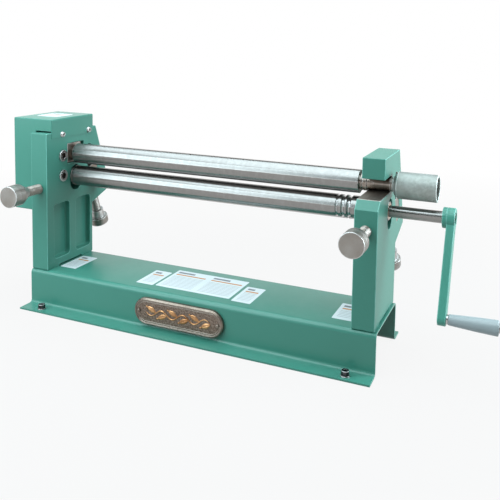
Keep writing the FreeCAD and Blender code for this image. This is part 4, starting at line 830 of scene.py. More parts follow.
def steel(name, dark, light, roughness, fineness, depth, centre=(0, 0, 0), lean=(0, 0, 0),
          spread=0.08, stain=0.0, stain_colour=BROWN_STAIN, wear=0.5, ground=0.0):
    """Bare metal with lathe marks along its local X, wear polish on edges and faint stains.
    Ground metal is scored too finely to see, which draws its reflections out along X."""
    finish = Finish(name, centre, lean, Metallic=1.0)
    marks = finish.effect("lathe_marks", Fineness=fineness)
    colour = finish.blend(marks["Mask"], dark, light)
    if stain:
        spots = finish.clouds(45.0, 0.16)
        colour = finish.blend(finish.times(spots, stain), colour, stain_colour)
    edge_mask = finish.wear(120.0, 0.8)
    finish.colour(finish.blend(finish.times(edge_mask, wear), colour, RUBBED_STEEL))
    dull = finish.clouds(30.0, 0.25)
    rough = finish.maths("ADD", finish.times(marks["Mask"], 0.5), finish.times(dull, 0.5))
    finish.roughness(finish.ramp(rough, 0.0, 1.0, roughness - spread, roughness + spread))
    if depth:
        finish.relief(marks["Height"], depth)
    if ground:
        around = finish.add("ShaderNodeTangent", direction_type="RADIAL", axis="X").outputs[0]
        finish.put(finish.shader.inputs["Tangent"], around)
        finish.shader.inputs["Anisotropic"].default_value = ground
        finish.shader.inputs["Anisotropic Rotation"].default_value = 0.25
    return finish.material


print("steel maker ready")

# %% [markdown]
# Each steel is one call or one row with its own numbers. A Mapping node of type TEXTURE
# moves the pattern's centre to the shaft's axis, so that the marks run round it; the front
# knobs turn about Y and the rear ones about a slanted line, so their patterns lean as well.

# %% Steels by use
AXIS_Y = 91.4
TOP_Z, LOW_Z = 292.2, 246.6
REST_Y, REST_Z = 157.221, 228.059
ADJUSTER_Z = 232.5
GUIDE_Y, GUIDE_Z, GUIDE_SLANT = 171.708, 187.148, math.radians(19.5)


def on_axis(y, z):
    """Centre of a pattern on a line along X, in metres."""
    return tuple(to_metres((0, y, z)) * np.array([0, 1, 1]))


ROLL_AXES = {"top": (AXIS_Y, TOP_Z), "lower": (AXIS_Y, LOW_Z), "rear": (REST_Y, REST_Z)}
ROLL_DARK, ROLL_LIGHT = (0.265, 0.258, 0.250), (0.285, 0.280, 0.272)
JOURNAL_DARK, JOURNAL_LIGHT = (0.20, 0.17, 0.145), (0.36, 0.33, 0.30)
KNOB_DARK, KNOB_LIGHT = (0.215, 0.200, 0.182), (0.34, 0.325, 0.305)
SHANK_DARK, SHANK_LIGHT = (0.15, 0.13, 0.11), (0.32, 0.285, 0.25)
QUARTER = math.pi / 2

roll_steel, journal_steel = {}, {}
for name, axis in ROLL_AXES.items():
    roll_steel[name] = steel(
        "roll_steel_" + name, ROLL_DARK, ROLL_LIGHT, roughness=0.25, fineness=260.0, depth=0,
        centre=on_axis(*axis), spread=0.01, wear=0.3, ground=0.95)
    journal_steel[name] = steel(
        "journal_steel_" + name, JOURNAL_DARK, JOURNAL_LIGHT, roughness=0.26, fineness=900.0,
        depth=0.00001, centre=on_axis(*axis), stain=0.4)
front_knob_steel = steel("front_knob_steel", KNOB_DARK, KNOB_LIGHT, roughness=0.42, fineness=700.0,
                         depth=0.00003, lean=(0, 0, QUARTER), stain=0.2)
front_shank_steel = steel("front_shank_steel", SHANK_DARK, SHANK_LIGHT, roughness=0.42,
                          fineness=500.0, depth=0.00010, lean=(0, 0, QUARTER), stain=0.5)
rear_knob_steel = steel("rear_knob_steel", KNOB_DARK, KNOB_LIGHT, roughness=0.42, fineness=700.0,
                        depth=0.00003, lean=(GUIDE_SLANT, -QUARTER, 0), stain=0.3)

PLAIN_STEELS = {  # dark, light, roughness, fineness of its marks, their depth in metres, stain
    "milled_steel": ((0.24, 0.215, 0.19), (0.44, 0.42, 0.395), 0.40, 600.0, 0.00005, 0.4),
    "plated_steel": ((0.40, 0.395, 0.385), (0.52, 0.52, 0.515), 0.28, 800.0, 0.00001, 0.0),
    # the socket steel is painted shade for the hexagon recesses of the screw heads
    "socket_steel": ((0.075, 0.060, 0.050), (0.14, 0.115, 0.098), 0.45, 400.0, 0.00002, 0.0),
    "gear_steel": ((0.16, 0.16, 0.165), (0.30, 0.30, 0.31), 0.36, 400.0, 0.00004, 0.3),
    "bearing_bronze": ((0.40, 0.24, 0.09), (0.62, 0.42, 0.20), 0.34, 700.0, 0.00004, 0.3),
    "black_steel": ((0.020, 0.020, 0.022), (0.045, 0.045, 0.048), 0.38, 500.0, 0.00003, 0.0),
}
milled_steel, plated_steel, socket_steel, gear_steel, bearing_bronze, black_steel = (
    steel(name, *numbers, stain=stain) for name, (*numbers, stain) in PLAIN_STEELS.items())
print("steels by roll:", ", ".join(roll_steel), "and plain:", ", ".join(PLAIN_STEELS))

# %% [markdown]
# The lifting tube is zinc coated, which shows as dull patches with soft edges, and the grip
# is smooth moulded plastic with a faint mould grain.

# %% Zinc and plastic
ZINC_DARK, ZINC_LIGHT = (0.27, 0.30, 0.285), (0.43, 0.47, 0.45)
ZINC_GRIME, ZINC_RUBBED = (0.17, 0.16, 0.13), (0.74, 0.78, 0.77)
GRIP_DEEP, GRIP_PALE = (0.285, 0.335, 0.350), (0.325, 0.380, 0.395)


def zinc_coat():
    """Dull zinc: Voronoi crystals softened by noise decide colour and gloss."""
    finish = Finish("zinc_tube", Metallic=0.8)
    cells = finish.add("ShaderNodeTexVoronoi", {"Vector": finish.spot, "Scale": 230.0},
                       feature="SMOOTH_F1").outputs["Distance"]
    clouds = finish.clouds(60.0, 0.25)
    patch = finish.maths("ADD", finish.times(cells, 0.7), finish.times(clouds, 0.5))
    colour = finish.blend(patch, ZINC_DARK, ZINC_LIGHT)
    grime = finish.clouds(32.0, 0.12)
    colour = finish.blend(finish.times(grime, 0.35), colour, ZINC_GRIME)
    edge_mask = finish.wear(150.0, 0.9)
    finish.colour(finish.blend(edge_mask, colour, ZINC_RUBBED))
    finish.roughness(finish.ramp(patch, 0.2, 1.1, 0.52, 0.66))
    finish.relief(patch, 0.00008, 0.6)
    return finish.material


def moulded_grip():
    """Pale grey plastic: slight clouding, fine mould grain."""
    finish = Finish("grip_plastic", Metallic=0.0, Coat_Weight=0.15, Coat_Roughness=0.3)
    clouds = finish.clouds(28.0, 0.3)
    finish.colour(finish.blend(clouds, GRIP_DEEP, GRIP_PALE))
    finish.roughness(finish.ramp(clouds, 0.0, 1.0, 0.36, 0.44))
    finish.relief(finish.effect("paint_skin", Scale=900.0, Grain=0.5)["Height"], 0.00003)
    return finish.material


zinc_tube = zinc_coat()
grip_plastic = moulded_grip()
print("made zinc and plastic")

# %% [markdown]
# The nameplate is a casting with an antique finish: a brown pewter ground beaten with small
# dents, bright where a file ran over its rim, and a raised copper ornament.

# %% Nameplate finishes
DENT_DARK, DENT_BROWN = (0.072, 0.052, 0.041), (0.135, 0.102, 0.082)
BETWEEN_DENTS = (0.265, 0.210, 0.172)
PEWTER_RUBBED = (0.55, 0.50, 0.44)


def pewter_ground():
    """Brown ground crowded with dents, which smooth Voronoi cells make; dark in the dents."""
    finish = Finish("pewter_ground", Metallic=1.0)
    dents = finish.add("ShaderNodeTexVoronoi", {"Vector": finish.spot, "Scale": 420.0},
                       feature="SMOOTH_F1").outputs["Distance"]
    patches = finish.clouds(70.0, 0.25)
    dark = finish.blend(patches, DENT_DARK, DENT_BROWN)
    colour = finish.blend(finish.ramp(dents, 0.15, 0.65), dark, BETWEEN_DENTS)
    edge_mask = finish.wear(90.0, 1.0)
    finish.colour(finish.blend(edge_mask, colour, PEWTER_RUBBED))
    finish.roughness(finish.ramp(patches, 0.0, 1.0, 0.36, 0.52))
    finish.relief(dents, 0.0005, 0.7)
    return finish.material


pewter_rim = steel("pewter_rim", (0.19, 0.150, 0.122), (0.34, 0.280, 0.236), roughness=0.40,
                   fineness=300.0, depth=0.00002, stain=0.4, stain_colour=(0.09, 0.06, 0.04),
                   wear=0.12)
copper_relief = steel("copper_relief", (0.42, 0.20, 0.085), (0.70, 0.40, 0.20), roughness=0.34,
                      fineness=300.0, depth=0.00005, stain=0.35, stain_colour=(0.12, 0.05, 0.025))
plate_finishes = [pewter_rim, pewter_ground()]
print("nameplate finishes:", len(plate_finishes) + 1)

# %% [markdown]
# The cards on the channel and the cover are thin white film. Their print is generic: a
# heading bar, a tinted line and ruled lines with no words, drawn from the card's own
# coordinates, which run in millimetres from its middle.

# %% Card finish
FILM_DEEP, FILM_PALE = (0.60, 0.655, 0.675), (0.65, 0.705, 0.725)
PRINT_GREY, PRINT_OCHRE = (0.17, 0.18, 0.20), (0.50, 0.21, 0.065)
SIDE_MARGIN, END_MARGIN = 6.0, 8.0
HEADING_SHARE, HEADING, LINE_TOP, LINE_END, RULES_TOP = 0.55, 7.0, 12.0, 17.0, 20.0
TWO_COLUMNS_FROM = 100.0   # width of a card that has two columns


class Print(Finish):
    """A film finish that can mask boxes and ruled lines in the card's own millimetres."""

    def __init__(self, name):
        super().__init__(name, Metallic=0.0)
        spot = self.add("ShaderNodeUVMap", uv_map="card").outputs[0]
        parts = self.add("ShaderNodeSeparateXYZ", {0: spot}).outputs
        self.x, self.y = parts["X"], parts["Y"]

    def between(self, value, low, high):
        above = self.maths("GREATER_THAN", value, low)
        return self.times(above, self.maths("LESS_THAN", value, high))

    def box(self, left, right, low, high):
        return self.times(self.between(self.x, left, right), self.between(self.y, low, high))

    def rules(self, left, right, low, high, pitch=6.0):
        """Lines a third of the pitch thick, in a box."""
        row = self.maths("FRACT", self.maths("DIVIDE", self.y, pitch))
        line = self.maths("LESS_THAN", row, 0.33)
        return self.times(line, self.box(left, right, low, high))


def card_film(name, width, depth):
    """White film: a grey heading bar, a thin tinted line and a block of rules. A wide card has
    two columns of them, a small card one."""
    finish = Print(name)
    clouds = finish.clouds(40.0, 0.4)
    colour = finish.blend(clouds, FILM_DEEP, FILM_PALE)
    columns = 2 if width > TWO_COLUMNS_FROM else 1
    for column in range(columns):
        left = -width / 2 + column * width / columns + SIDE_MARGIN
        right = left + width / columns - 2 * SIDE_MARGIN
        top = depth / 2 - END_MARGIN
        heading = finish.box(left, left + HEADING_SHARE * (right - left), top - HEADING, top)
        line = finish.box(left, right, top - LINE_END, top - LINE_TOP)
        rules = finish.rules(left, right, -depth / 2 + END_MARGIN, top - RULES_TOP)
        colour = finish.blend(heading, colour, PRINT_GREY)
        colour = finish.blend(line, colour, PRINT_OCHRE)
        colour = finish.blend(finish.times(rules, 0.55), colour, PRINT_GREY)
    finish.colour(colour)
    finish.roughness(finish.ramp(clouds, 0.0, 1.0, 0.42, 0.52))
    return finish.material


print("materials so far:", len(bpy.data.materials))

# %% [markdown]
# ## The channel
# The base is one sheet folded into a hat section: two flanges, two walls and a top, with
# round bends. Its cross-section is one closed outline; the bends are arcs whose inner and
# outer radii differ by the sheet's thickness, and the plate helper carries it along X.

# %% Base channel
LENGTH, WIDTH, HEIGHT, SHEET = 692.0, 148.0, 71.0, 3.0
BEND_IN, BEND_OUT = 6.0, 9.0
SHEET_EDGE = 0.5


def bent(corner, radius, start, end):
    """Arc of a bend: its centre lies one radius in from both faces, by the quadrant."""
    middle = math.radians((start + end) / 2)
    centre = (corner[0] - radius * math.copysign(1, math.cos(middle)),
              corner[1] - radius * math.copysign(1, math.sin(middle)))
    return arc(centre, radius, start, end, 8)


def hat_section():
    """Closed outline of the hat section, front flange first, anticlockwise."""
    front_tip, rear_tip = -FLANGE, WIDTH + FLANGE
    return np.concatenate([
        [(front_tip, 0)],
        bent((SHEET, 0), BEND_OUT, -90, 0),
        bent((SHEET, HEIGHT - SHEET), BEND_IN, 180, 90),
        bent((WIDTH - SHEET, HEIGHT - SHEET), BEND_IN, 90, 0),
        bent((WIDTH - SHEET, 0), BEND_OUT, 180, 270),
        [(rear_tip, 0), (rear_tip, SHEET)],
        bent((WIDTH, SHEET), BEND_IN, 270, 180),
        bent((WIDTH, HEIGHT), BEND_OUT, 0, 90),
        bent((0, HEIGHT), BEND_OUT, 90, 180),
        bent((0, SHEET), BEND_IN, 0, -90),
        [(front_tip, SHEET)],
    ])


channel = plate(hat_section(), LENGTH, SHEET_EDGE, across_x(0.0))
make_piece("base_channel_skin", [channel], sheet_enamel, "frame", "base_channel")

# %% [markdown]
# ## The standards
# Both end standards share one outline: a foot with a relief, a slanted ear behind for the
# rear roll's guide, and two cored panels on the inner face. The left one is closed in front
# and has a window for the block on which the top roll swings; the right one is open in
# front with a machined throat, so that the top roll can swing out of it.

# %% Standard outline
THICK = 38.0
LEFT_X, RIGHT_X = 1.0, 650.0
FRONT, REAR, BED, CROWN = 3.0, 145.0, HEIGHT, 341.5
EAR_TIP, EAR_CROWN = (208.0, 200.0), (157.889, CROWN)
EAR_ROOT = (REAR, 177.69)
RELIEF_HALF, RELIEF_HEIGHT = 35.0, 3.0
CAST_EDGE, CAST_CORNER, OPENING_EDGE = 1.2, 2.0, 0.8
MIDDLE = (FRONT + REAR) / 2
FOOT = [(FRONT, BED), (MIDDLE - RELIEF_HALF, BED), (MIDDLE - RELIEF_HALF, BED + RELIEF_HEIGHT),
        (MIDDLE + RELIEF_HALF, BED + RELIEF_HEIGHT), (MIDDLE + RELIEF_HALF, BED), (REAR, BED)]
EAR = [EAR_ROOT, EAR_TIP, EAR_CROWN]
THROAT_FLOOR, THROAT_ROOF = 279.7, 306.5
THROAT_RADIUS = (THROAT_ROOF - THROAT_FLOOR) / 2
HEAD_FRONT = 45.0


def cast_outline(front):
    """The standard's closed outline with its corners eased as a casting's are."""
    return eased(FOOT + EAR + front, CAST_CORNER, closed=True)


def guide_spot(reach):
    """A point of the rear guide's middle line: guide origin + reach (-sin slant, cos slant)."""
    return (GUIDE_Y - reach * math.sin(GUIDE_SLANT), GUIDE_Z + reach * math.cos(GUIDE_SLANT))


GUIDE_HALF, GUIDE_START, GUIDE_END = 14.8, 27.5, 125.0
rear_guide = slot_loop(guide_spot(GUIDE_START + GUIDE_HALF), guide_spot(GUIDE_END - GUIDE_HALF),
                       GUIDE_HALF)
SLOT_HALF, SLOT_LOW, SLOT_HIGH = 17.1, 216.0, 268.0
lower_slot = slot_loop((AXIS_Y, SLOT_LOW + SLOT_HALF), (AXIS_Y, SLOT_HIGH - SLOT_HALF), SLOT_HALF)
CORE_FRONTS, CORE_WIDTH, CORE_LOW, CORE_HIGH = (23.0, 89.5), 47.5, 88.0, 198.0
CORE_DEPTH, CORE_CORNER, CORE_DRAFT, CORE_FLOOR = 11.0, 8.0, 1.0, 2.5
core_panels = [(box_loop(y, y + CORE_WIDTH, CORE_LOW, CORE_HIGH, CORE_CORNER), CORE_DEPTH,
                CORE_DRAFT, CORE_FLOOR) for y in CORE_FRONTS]
print("openings:", len(lower_slot), "and", len(rear_guide), "points,", len(core_panels), "panels")

# %% [markdown]
# The left standard also carries the idler axles, whose heads sit in round counterbores on
# the inner face. Counterbores are pockets like the cored panels, only round and square cut.

# %% Left standard
IDLER_Y, IDLER_LEVELS = 51.2, (252.0, 292.2)
WINDOW = (65.2, 117.6, 274.0, 315.0)   # front, rear, low and high side
COUNTERBORE_RADIUS, COUNTERBORE_DEPTH, SQUARE_CUT = 11.8, 10.0, (0.0, 0.3)
counterbores = [(ring_loop((IDLER_Y, z), COUNTERBORE_RADIUS, 48), COUNTERBORE_DEPTH, *SQUARE_CUT)
                for z in IDLER_LEVELS]
left_plate = plate(cast_outline([(FRONT, CROWN)]), THICK, CAST_EDGE, across_x(LEFT_X),
                   holes=[lower_slot, rear_guide, box_loop(*WINDOW, 2.0, 6)],
                   back_pockets=core_panels + counterbores, hole_edge=OPENING_EDGE)
left_casting = make_piece("left_standard_casting", [left_plate], cast_enamel, "frame",
                          "left_standard")

# %% [markdown]
# On the right standard the throat is cut bare after painting. Faces whose middle lies on the
# throat's wall take the milled finish, chosen by place from one array of face centres.

# %% Right standard
NOSE_TOP, NOSE_LOW = (17.0, THROAT_FLOOR), (FRONT, 265.0)
ROLLED, ENDS = 0.9, 0.2   # how far a rolled edge reaches from the throat's walls and its two mouths
throat_end = arc((AXIS_Y, (THROAT_FLOOR + THROAT_ROOF) / 2), THROAT_RADIUS, 90, -90, 20)
nose = [(HEAD_FRONT, CROWN), (HEAD_FRONT, THROAT_ROOF), *map(tuple, throat_end),
        NOSE_TOP, NOSE_LOW]
right_plate = plate(cast_outline(nose), THICK, CAST_EDGE, across_x(RIGHT_X),
                    holes=[lower_slot, rear_guide], front_pockets=core_panels,
                    hole_edge=OPENING_EDGE)
right_casting = make_piece("right_standard_casting", [right_plate], [cast_enamel, milled_steel],
                           "frame", "right_standard")


def bare_where(piece, chosen):
    """Second finish for the faces whose centre, in machine millimetres, is chosen."""
    polygons = piece.data.polygons
    centres = np.zeros(len(polygons) * 3, np.float32)
    polygons.foreach_get("center", centres)
    spots = centres.reshape(-1, 3) / MM - SHIFT
    material = np.where(chosen(spots[:, 0], spots[:, 1], spots[:, 2]), 1, 0)
    polygons.foreach_set("material_index", material.astype(np.int32))
    print("bare faces on", piece.name, int(material.sum()))


def in_throat(x, y, z):
    """On the throat's floor, end or roof, between the two rolled edges."""
    level = (z > THROAT_FLOOR - ROLLED) & (z < THROAT_ROOF + ROLLED) & (y > NOSE_TOP[0] - 0.5)
    within = (x > RIGHT_X + ENDS) & (x < RIGHT_X + THICK - ENDS)
    roof = (np.abs(z - THROAT_ROOF) < ROLLED) & (y > HEAD_FRONT + 1)
    return level & within & (roof | (z < THROAT_ROOF - ROLLED))


bare_where(right_casting, in_throat)

# %% [markdown]
# ## The gear cover
# The cover is bent from thin sheet: a foot, an outer wall, a crown and a short flange that
# hooks over the standard, closed by a cheek on each side. One outer skin is enough to draw
# it. The inner skin is the same grid moved in by the sheet's thickness, and a rim joins the
# two wherever an edge of the skin has no neighbour.

# %% Folded sheet
COVER_SHEET = 1.5
COVER_LEFT, COVER_RIGHT = -54.0, 40.5
COVER_FRONT, COVER_REAR = 17.0, 147.0
COVER_FOOT, COVER_CROWN, COVER_NOTCH, COVER_TAB = 184.0, 367.8, 344.5, 330.0
COVER_BEND, CHEEK_BEND_OUT, CHEEK_BEND_IN, CHEEK_STEPS = 2.7, 1.6, 0.4, 5


def thickened(outer, inner, quads, triangles):
    """Closed shell from a skin and its copy moved inwards; every lone edge becomes a rim."""
    count = len(outer)
    edges = np.concatenate([np.stack([f, np.roll(f, -1, 1)], -1).reshape(-1, 2)
                            for f in (quads, triangles)])
    span = 2 * count
    lone = ~np.isin(edges[:, 0] * span + edges[:, 1], edges[:, 1] * span + edges[:, 0])
    start, end = edges[lone].T
    rim = np.stack([end, start, start + count, end + count], 1)
    all_quads = np.concatenate([quads, quads[:, ::-1] + count, rim])
    all_triangles = np.concatenate([triangles, triangles[:, ::-1] + count])
    return shell(np.concatenate([outer, inner]), all_quads, all_triangles)


def cover_skin():
    """The folded line is carried along Y and rolls over at both ends into flat cheeks; the
    tab below the notch has no cheek."""
    fold = [(LEFT_X, COVER_FOOT), (COVER_LEFT, COVER_FOOT), (COVER_LEFT, COVER_CROWN),
            (COVER_RIGHT, COVER_CROWN), (COVER_RIGHT, COVER_NOTCH), (COVER_RIGHT, COVER_TAB)]
    line = eased(fold, [COVER_BEND, COVER_BEND, COVER_BEND, 0.0])
    step = mitre(line, closed=False)
    skins = []
    t = np.linspace(0, math.pi / 2, CHEEK_STEPS)
    for inset, roll in ((0.0, CHEEK_BEND_OUT), (COVER_SHEET, CHEEK_BEND_IN)):
        across = inset + roll * np.concatenate([1 - np.sin(t), 1 - np.sin(t[::-1])])
        y = np.concatenate([COVER_FRONT + inset + roll * (1 - np.cos(t)),
                            COVER_REAR - inset - roll * (1 - np.cos(t[::-1]))])
        flat = line[None] - step[None] * across[:, None, None]
        grid = np.stack([flat[..., 0], np.broadcast_to(y[:, None], flat.shape[:2]), flat[..., 1]], 2)
        corner = np.array([[LEFT_X, y[0], COVER_NOTCH], [LEFT_X, y[-1], COVER_NOTCH]])
        skins.append(np.concatenate([grid.reshape(-1, 3), corner]))
    rows, columns = 2 * CHEEK_STEPS, len(line)
    index = np.arange(rows * columns).reshape(rows, columns)
    quads = np.stack([index[:-1, :-1], index[1:, :-1], index[1:, 1:], index[:-1, 1:]], -1)
    cheeked = np.flatnonzero((line[:, 1] > COVER_NOTCH - 0.01) | (line[:, 0] < COVER_RIGHT - 0.01))
    triangles = []
    for row, corner in ((0, rows * columns), (rows - 1, rows * columns + 1)):
        ring = np.concatenate([index[row][cheeked], [corner]])
        triangles.append(fill_flat([(skins[0][ring][:, [0, 2]], ring)], row == 0))
    return thickened(*skins, quads.reshape(-1, 4), np.concatenate(triangles))


make_piece("gear_cover_sheet", [cover_skin()], sheet_enamel, "frame", "gear_cover")

# %% [markdown]
# Two low-headed screws hold the cover's flange, and the idler gears turn on shoulder screws
# whose heads show on the inner face, level with the rolls. The sockets in their heads are
# painted dark as shade, so the faces in them are chosen by place for a second, darker steel.

# %% Screws of the left standard
COVER_SCREW_Z, COVER_SCREW_HEAD, COVER_SCREW_SOCKET = 335.5, 4.0, 5.0
COVER_SCREW_SPOTS = [(y, COVER_SCREW_Z) for y in (48.5, 131.2)]
AXLE_SEAT, AXLE_HEAD, AXLE_SOCKET = 29.0, 12.5, 12.0


def in_sockets(spots, socket, top):
    """Chooses faces nearer than a socket's corners to one of the axes along X, and deeper
    than the rim of its mouth."""
    reach = socket / 2 / math.cos(math.pi / 6)
    return lambda x, y, z: (x < top - 0.2) & (x > top - 0.6 * socket) & np.any(
        [np.hypot(y - a, z - b) < reach for a, b in spots], axis=0)


cover_screws = [socket_screw(0, COVER_SCREW_HEAD, head_radius=6.5, shank=12, shank_radius=3,
                             socket=COVER_SCREW_SOCKET, depth=2.0, centre=(COVER_RIGHT, *spot),
                             axis=X_AXIS, crown=4.5) for spot in COVER_SCREW_SPOTS]
screw_pair = make_piece("cover_screw_pair", cover_screws, [plated_steel, socket_steel], "frame",
                        "cover_screws")
cover_top = COVER_RIGHT + COVER_SCREW_HEAD
bare_where(screw_pair, in_sockets(COVER_SCREW_SPOTS, COVER_SCREW_SOCKET, cover_top))
axles = [socket_screw(0, AXLE_HEAD, head_radius=11.5, shank=shank, shank_radius=8,
                      socket=AXLE_SOCKET, depth=7, centre=(AXLE_SEAT, IDLER_Y, z), axis=X_AXIS,
                      spin=spin) for z, shank, spin in zip(IDLER_LEVELS, (53, 69), (0.2, 0.55))]
axle_pair = make_piece("idler_axle_pair", axles, [plated_steel, socket_steel], "frame",
                       "idler_axles")
axle_spots = [(IDLER_Y, z) for z in IDLER_LEVELS]
bare_where(axle_pair, in_sockets(axle_spots, AXLE_SOCKET, AXLE_SEAT + AXLE_HEAD))

# %% [markdown]
# ## Bearing blocks
# The blocks are milled to slide in the standards' slots: the lower ones have a round crown
# and a sloping face for the wedge, the rear ones a round foot and stand along the slanted
# guide. A bronze bush sits between each lower block and its journal.

# %% Blocks and bushes
BLOCK_THICK, BLOCK_EDGE, BLOCK_HALF = 36.0, 0.6, 16.8
BLOCK_STARTS = {"left": LEFT_X + 1, "right": RIGHT_X + 1}
SHAFT_RADIUS, RUNNING_FIT, CLOSE_FIT = 10.0, 0.05, 0.02
CROWN_Z, CROWN_FOOT, BLOCK_FOOT, BLOCK_SLOPE = 245.6, 243.5, 231.6, 235.6
FOOT_FRONT, FOOT_REAR = 86.5, 104.2
BUSH_RADIUS = 12.55
crown = arc((AXIS_Y, CROWN_Z), BLOCK_HALF, 0, 180, 24)
lower_outline = eased(
    [*map(tuple, crown), (AXIS_Y - BLOCK_HALF, CROWN_FOOT), (FOOT_FRONT, BLOCK_FOOT),
     (FOOT_REAR, BLOCK_FOOT), (AXIS_Y + BLOCK_HALF, BLOCK_SLOPE)], 0.5, closed=True)
for side, start in BLOCK_STARTS.items():
    block = plate(lower_outline, BLOCK_THICK, BLOCK_EDGE, across_x(start),
                  holes=[ring_loop((AXIS_Y, LOW_Z), BUSH_RADIUS + RUNNING_FIT)])
    make_piece("lower_%s_block_steel" % side, [block], milled_steel, "lower_bearings",
               "lower_%s_block" % side)
    bush = sleeve(start, start + BLOCK_THICK, SHAFT_RADIUS + RUNNING_FIT, BUSH_RADIUS,
                  (0, AXIS_Y, LOW_Z), X_AXIS)
    make_piece("lower_%s_bush_bronze" % side, [bush], bearing_bronze, "lower_bushes",
               "lower_%s_bush" % side)


def in_guide(start):
    """Places a plate drawn across and along the slanted guide."""
    c, s = math.cos(GUIDE_SLANT), math.sin(GUIDE_SLANT)
    return lambda a, b, depth: np.stack(
        [start + depth, GUIDE_Y + a * c - b * s, GUIDE_Z + a * s + b * c], 1)


REAR_HALF, REAR_FOOT, REAR_CROWN, REAR_BORE = 14.5, 27.8, 76.0, 43.4
foot = arc((0, REAR_FOOT + REAR_HALF), REAR_HALF, 180, 360, 24)
rear_outline = eased([*map(tuple, foot), (REAR_HALF, REAR_CROWN), (-REAR_HALF, REAR_CROWN)],
                     [0.0] * len(foot) + [0.8, 0.8], closed=True)
for side, start in BLOCK_STARTS.items():
    block = plate(rear_outline, BLOCK_THICK, BLOCK_EDGE, in_guide(start),
                  holes=[ring_loop((0, REAR_BORE), SHAFT_RADIUS + RUNNING_FIT)])
    make_piece("rear_%s_block_steel" % side, [block], milled_steel, "rear_bearings",
               "rear_%s_block" % side)

TOP_BLOCK = (70.4, 112.4, 274.3, 313.7)   # front, rear, low and high side
TOP_BLOCK_START, TOP_BLOCK_THICK, TOP_SHAFT_RADIUS = 5.0, 30.0, 12.0
top_block = plate(box_loop(*TOP_BLOCK, 2.0), TOP_BLOCK_THICK, 0.8, across_x(TOP_BLOCK_START),
                  holes=[ring_loop((AXIS_Y, TOP_Z), TOP_SHAFT_RADIUS + RUNNING_FIT)])
make_piece("top_left_block_steel", [top_block], milled_steel, "top_pivot",
           "top_left_block")

# %% [markdown]
# ## The rolls
# Each roll is one turned shaft. Three round grooves near the right end of the lower and rear
# rolls are for bending wire, so their profile dips by half circles. The barrel is polished
# and the journals are not, which a second material by place along the shaft tells apart.

# %% Roll profiles
ROLL_START, ROLL_END, ROLL_RADIUS, BARREL_EDGE = 45.0, 636.6, 20.0, 0.8
JOURNAL_START, SHOULDER_RADIUS = 649.4, 14.5
HUB_START, HUB_END = 774.0, 794.0
GROOVES = ((600.0, 2.2), (610.5, 3.0), (621.0, 3.8))   # middle and radius


def lathe_path(rows):
    """Profile from (station, radius, ease) rows; the first and last rows lie on the axis."""
    rows = np.array(rows, float)
    return eased(rows[:, :2], rows[1:-1, 2])


def barrel(grooves=()):
    """Barrel rows whose grooves follow r = R - g sin(a), x = m - g cos(a) for a from 0 to pi."""
    rows = [(ROLL_START, ROLL_RADIUS, BARREL_EDGE)]
    for middle, groove in grooves:
        angles = np.linspace(0, math.pi, 15)
        rows += [(middle - groove * math.cos(a), ROLL_RADIUS - groove * math.sin(a),
                  0.35 if a in (angles[0], angles[-1]) else 0.0) for a in angles]
    return rows + [(ROLL_END, ROLL_RADIUS, BARREL_EDGE)]


def steps(*spans):
    """Two rows for each (start, end, radius) span of a stepped shaft, with small eased corners."""
    return [row for start, end, radius in spans
            for row in ((start, radius, 0.4), (end, radius, 0.4))]


def gear_end(tip, radius):
    """Rows from the shaft's left tip over a groove for the retaining ring to the gear's seat."""
    groove, seat, end = tip + 2.8, tip + 4.0, tip + 18.0
    return [(tip, 0, 0)] + steps((tip, groove, radius), (groove, seat, radius - 1),
                                 (seat, end, radius))


print("a grooved barrel has", len(barrel(GROOVES)), "rows")

# %% [markdown]
# The lower roll also carries a disc at its left end and runs on to the crank. The top roll's
# left shaft is longer, for the far gear, and its right shoulder has two turned bands.

# %% The three rolls
ROLL_PROFILES = {
    "top": lathe_path(
        gear_end(-40.0, 10) + steps((-22.0, 35.3, TOP_SHAFT_RADIUS), (35.3, ROLL_START, 15)) + barrel()
        + steps((ROLL_END, 638.8, 12.9), (638.8, 641.0, SHOULDER_RADIUS), (641.0, 643.2, 12.9),
                (643.2, JOURNAL_START, SHOULDER_RADIUS), (JOURNAL_START, 661.1, 12.2),
                (661.1, 688.3, 11.6), (688.3, 716.5, SHAFT_RADIUS)) + [(716.5, 0, 0)]),
    "lower": lathe_path(
        gear_end(-24.0, 8) + steps((-6.0, 39.5, SHAFT_RADIUS), (39.5, 42.5, 20), (42.5, ROLL_START, 13))
        + barrel(GROOVES)
        + steps((ROLL_END, JOURNAL_START, SHOULDER_RADIUS), (JOURNAL_START, 792.5, SHAFT_RADIUS))
        + [(792.5, 0, 0)]),
    "rear": lathe_path(
        [(3.0, 0, 0)] + steps((3.0, 40.0, SHAFT_RADIUS), (40.0, ROLL_START, SHOULDER_RADIUS))
        + barrel(GROOVES)
        + steps((ROLL_END, JOURNAL_START, SHOULDER_RADIUS), (JOURNAL_START, 686.0, SHAFT_RADIUS))
        + [(686.0, 0, 0)]),
}


def off_barrel(x, y, z):
    """Beyond the polished barrel, but not on the shaft that shows between standard and crank."""
    shaft = (x > RIGHT_X + THICK) & (x < HUB_START)
    return (x < ROLL_START + 0.1) | (x > ROLL_END - 0.1) & ~shaft


for name, profile in ROLL_PROFILES.items():
    barrel_shell = turned(profile, (0, *ROLL_AXES[name]), X_AXIS, steps=FINE_STEPS)
    roll = make_piece(name + "_roll_steel", [barrel_shell], [roll_steel[name], journal_steel[name]],
                      name + "_roll", name + "_roll")
    bare_where(roll, off_barrel)

# %% [markdown]
# ## The lifting tube
# A short zinc-coated tube on the top roll's free end is the handle that lifts it out of the
# throat. It is open to the right: a web near its left end carries a hub, and a screw in the
# hub holds it to the shaft.

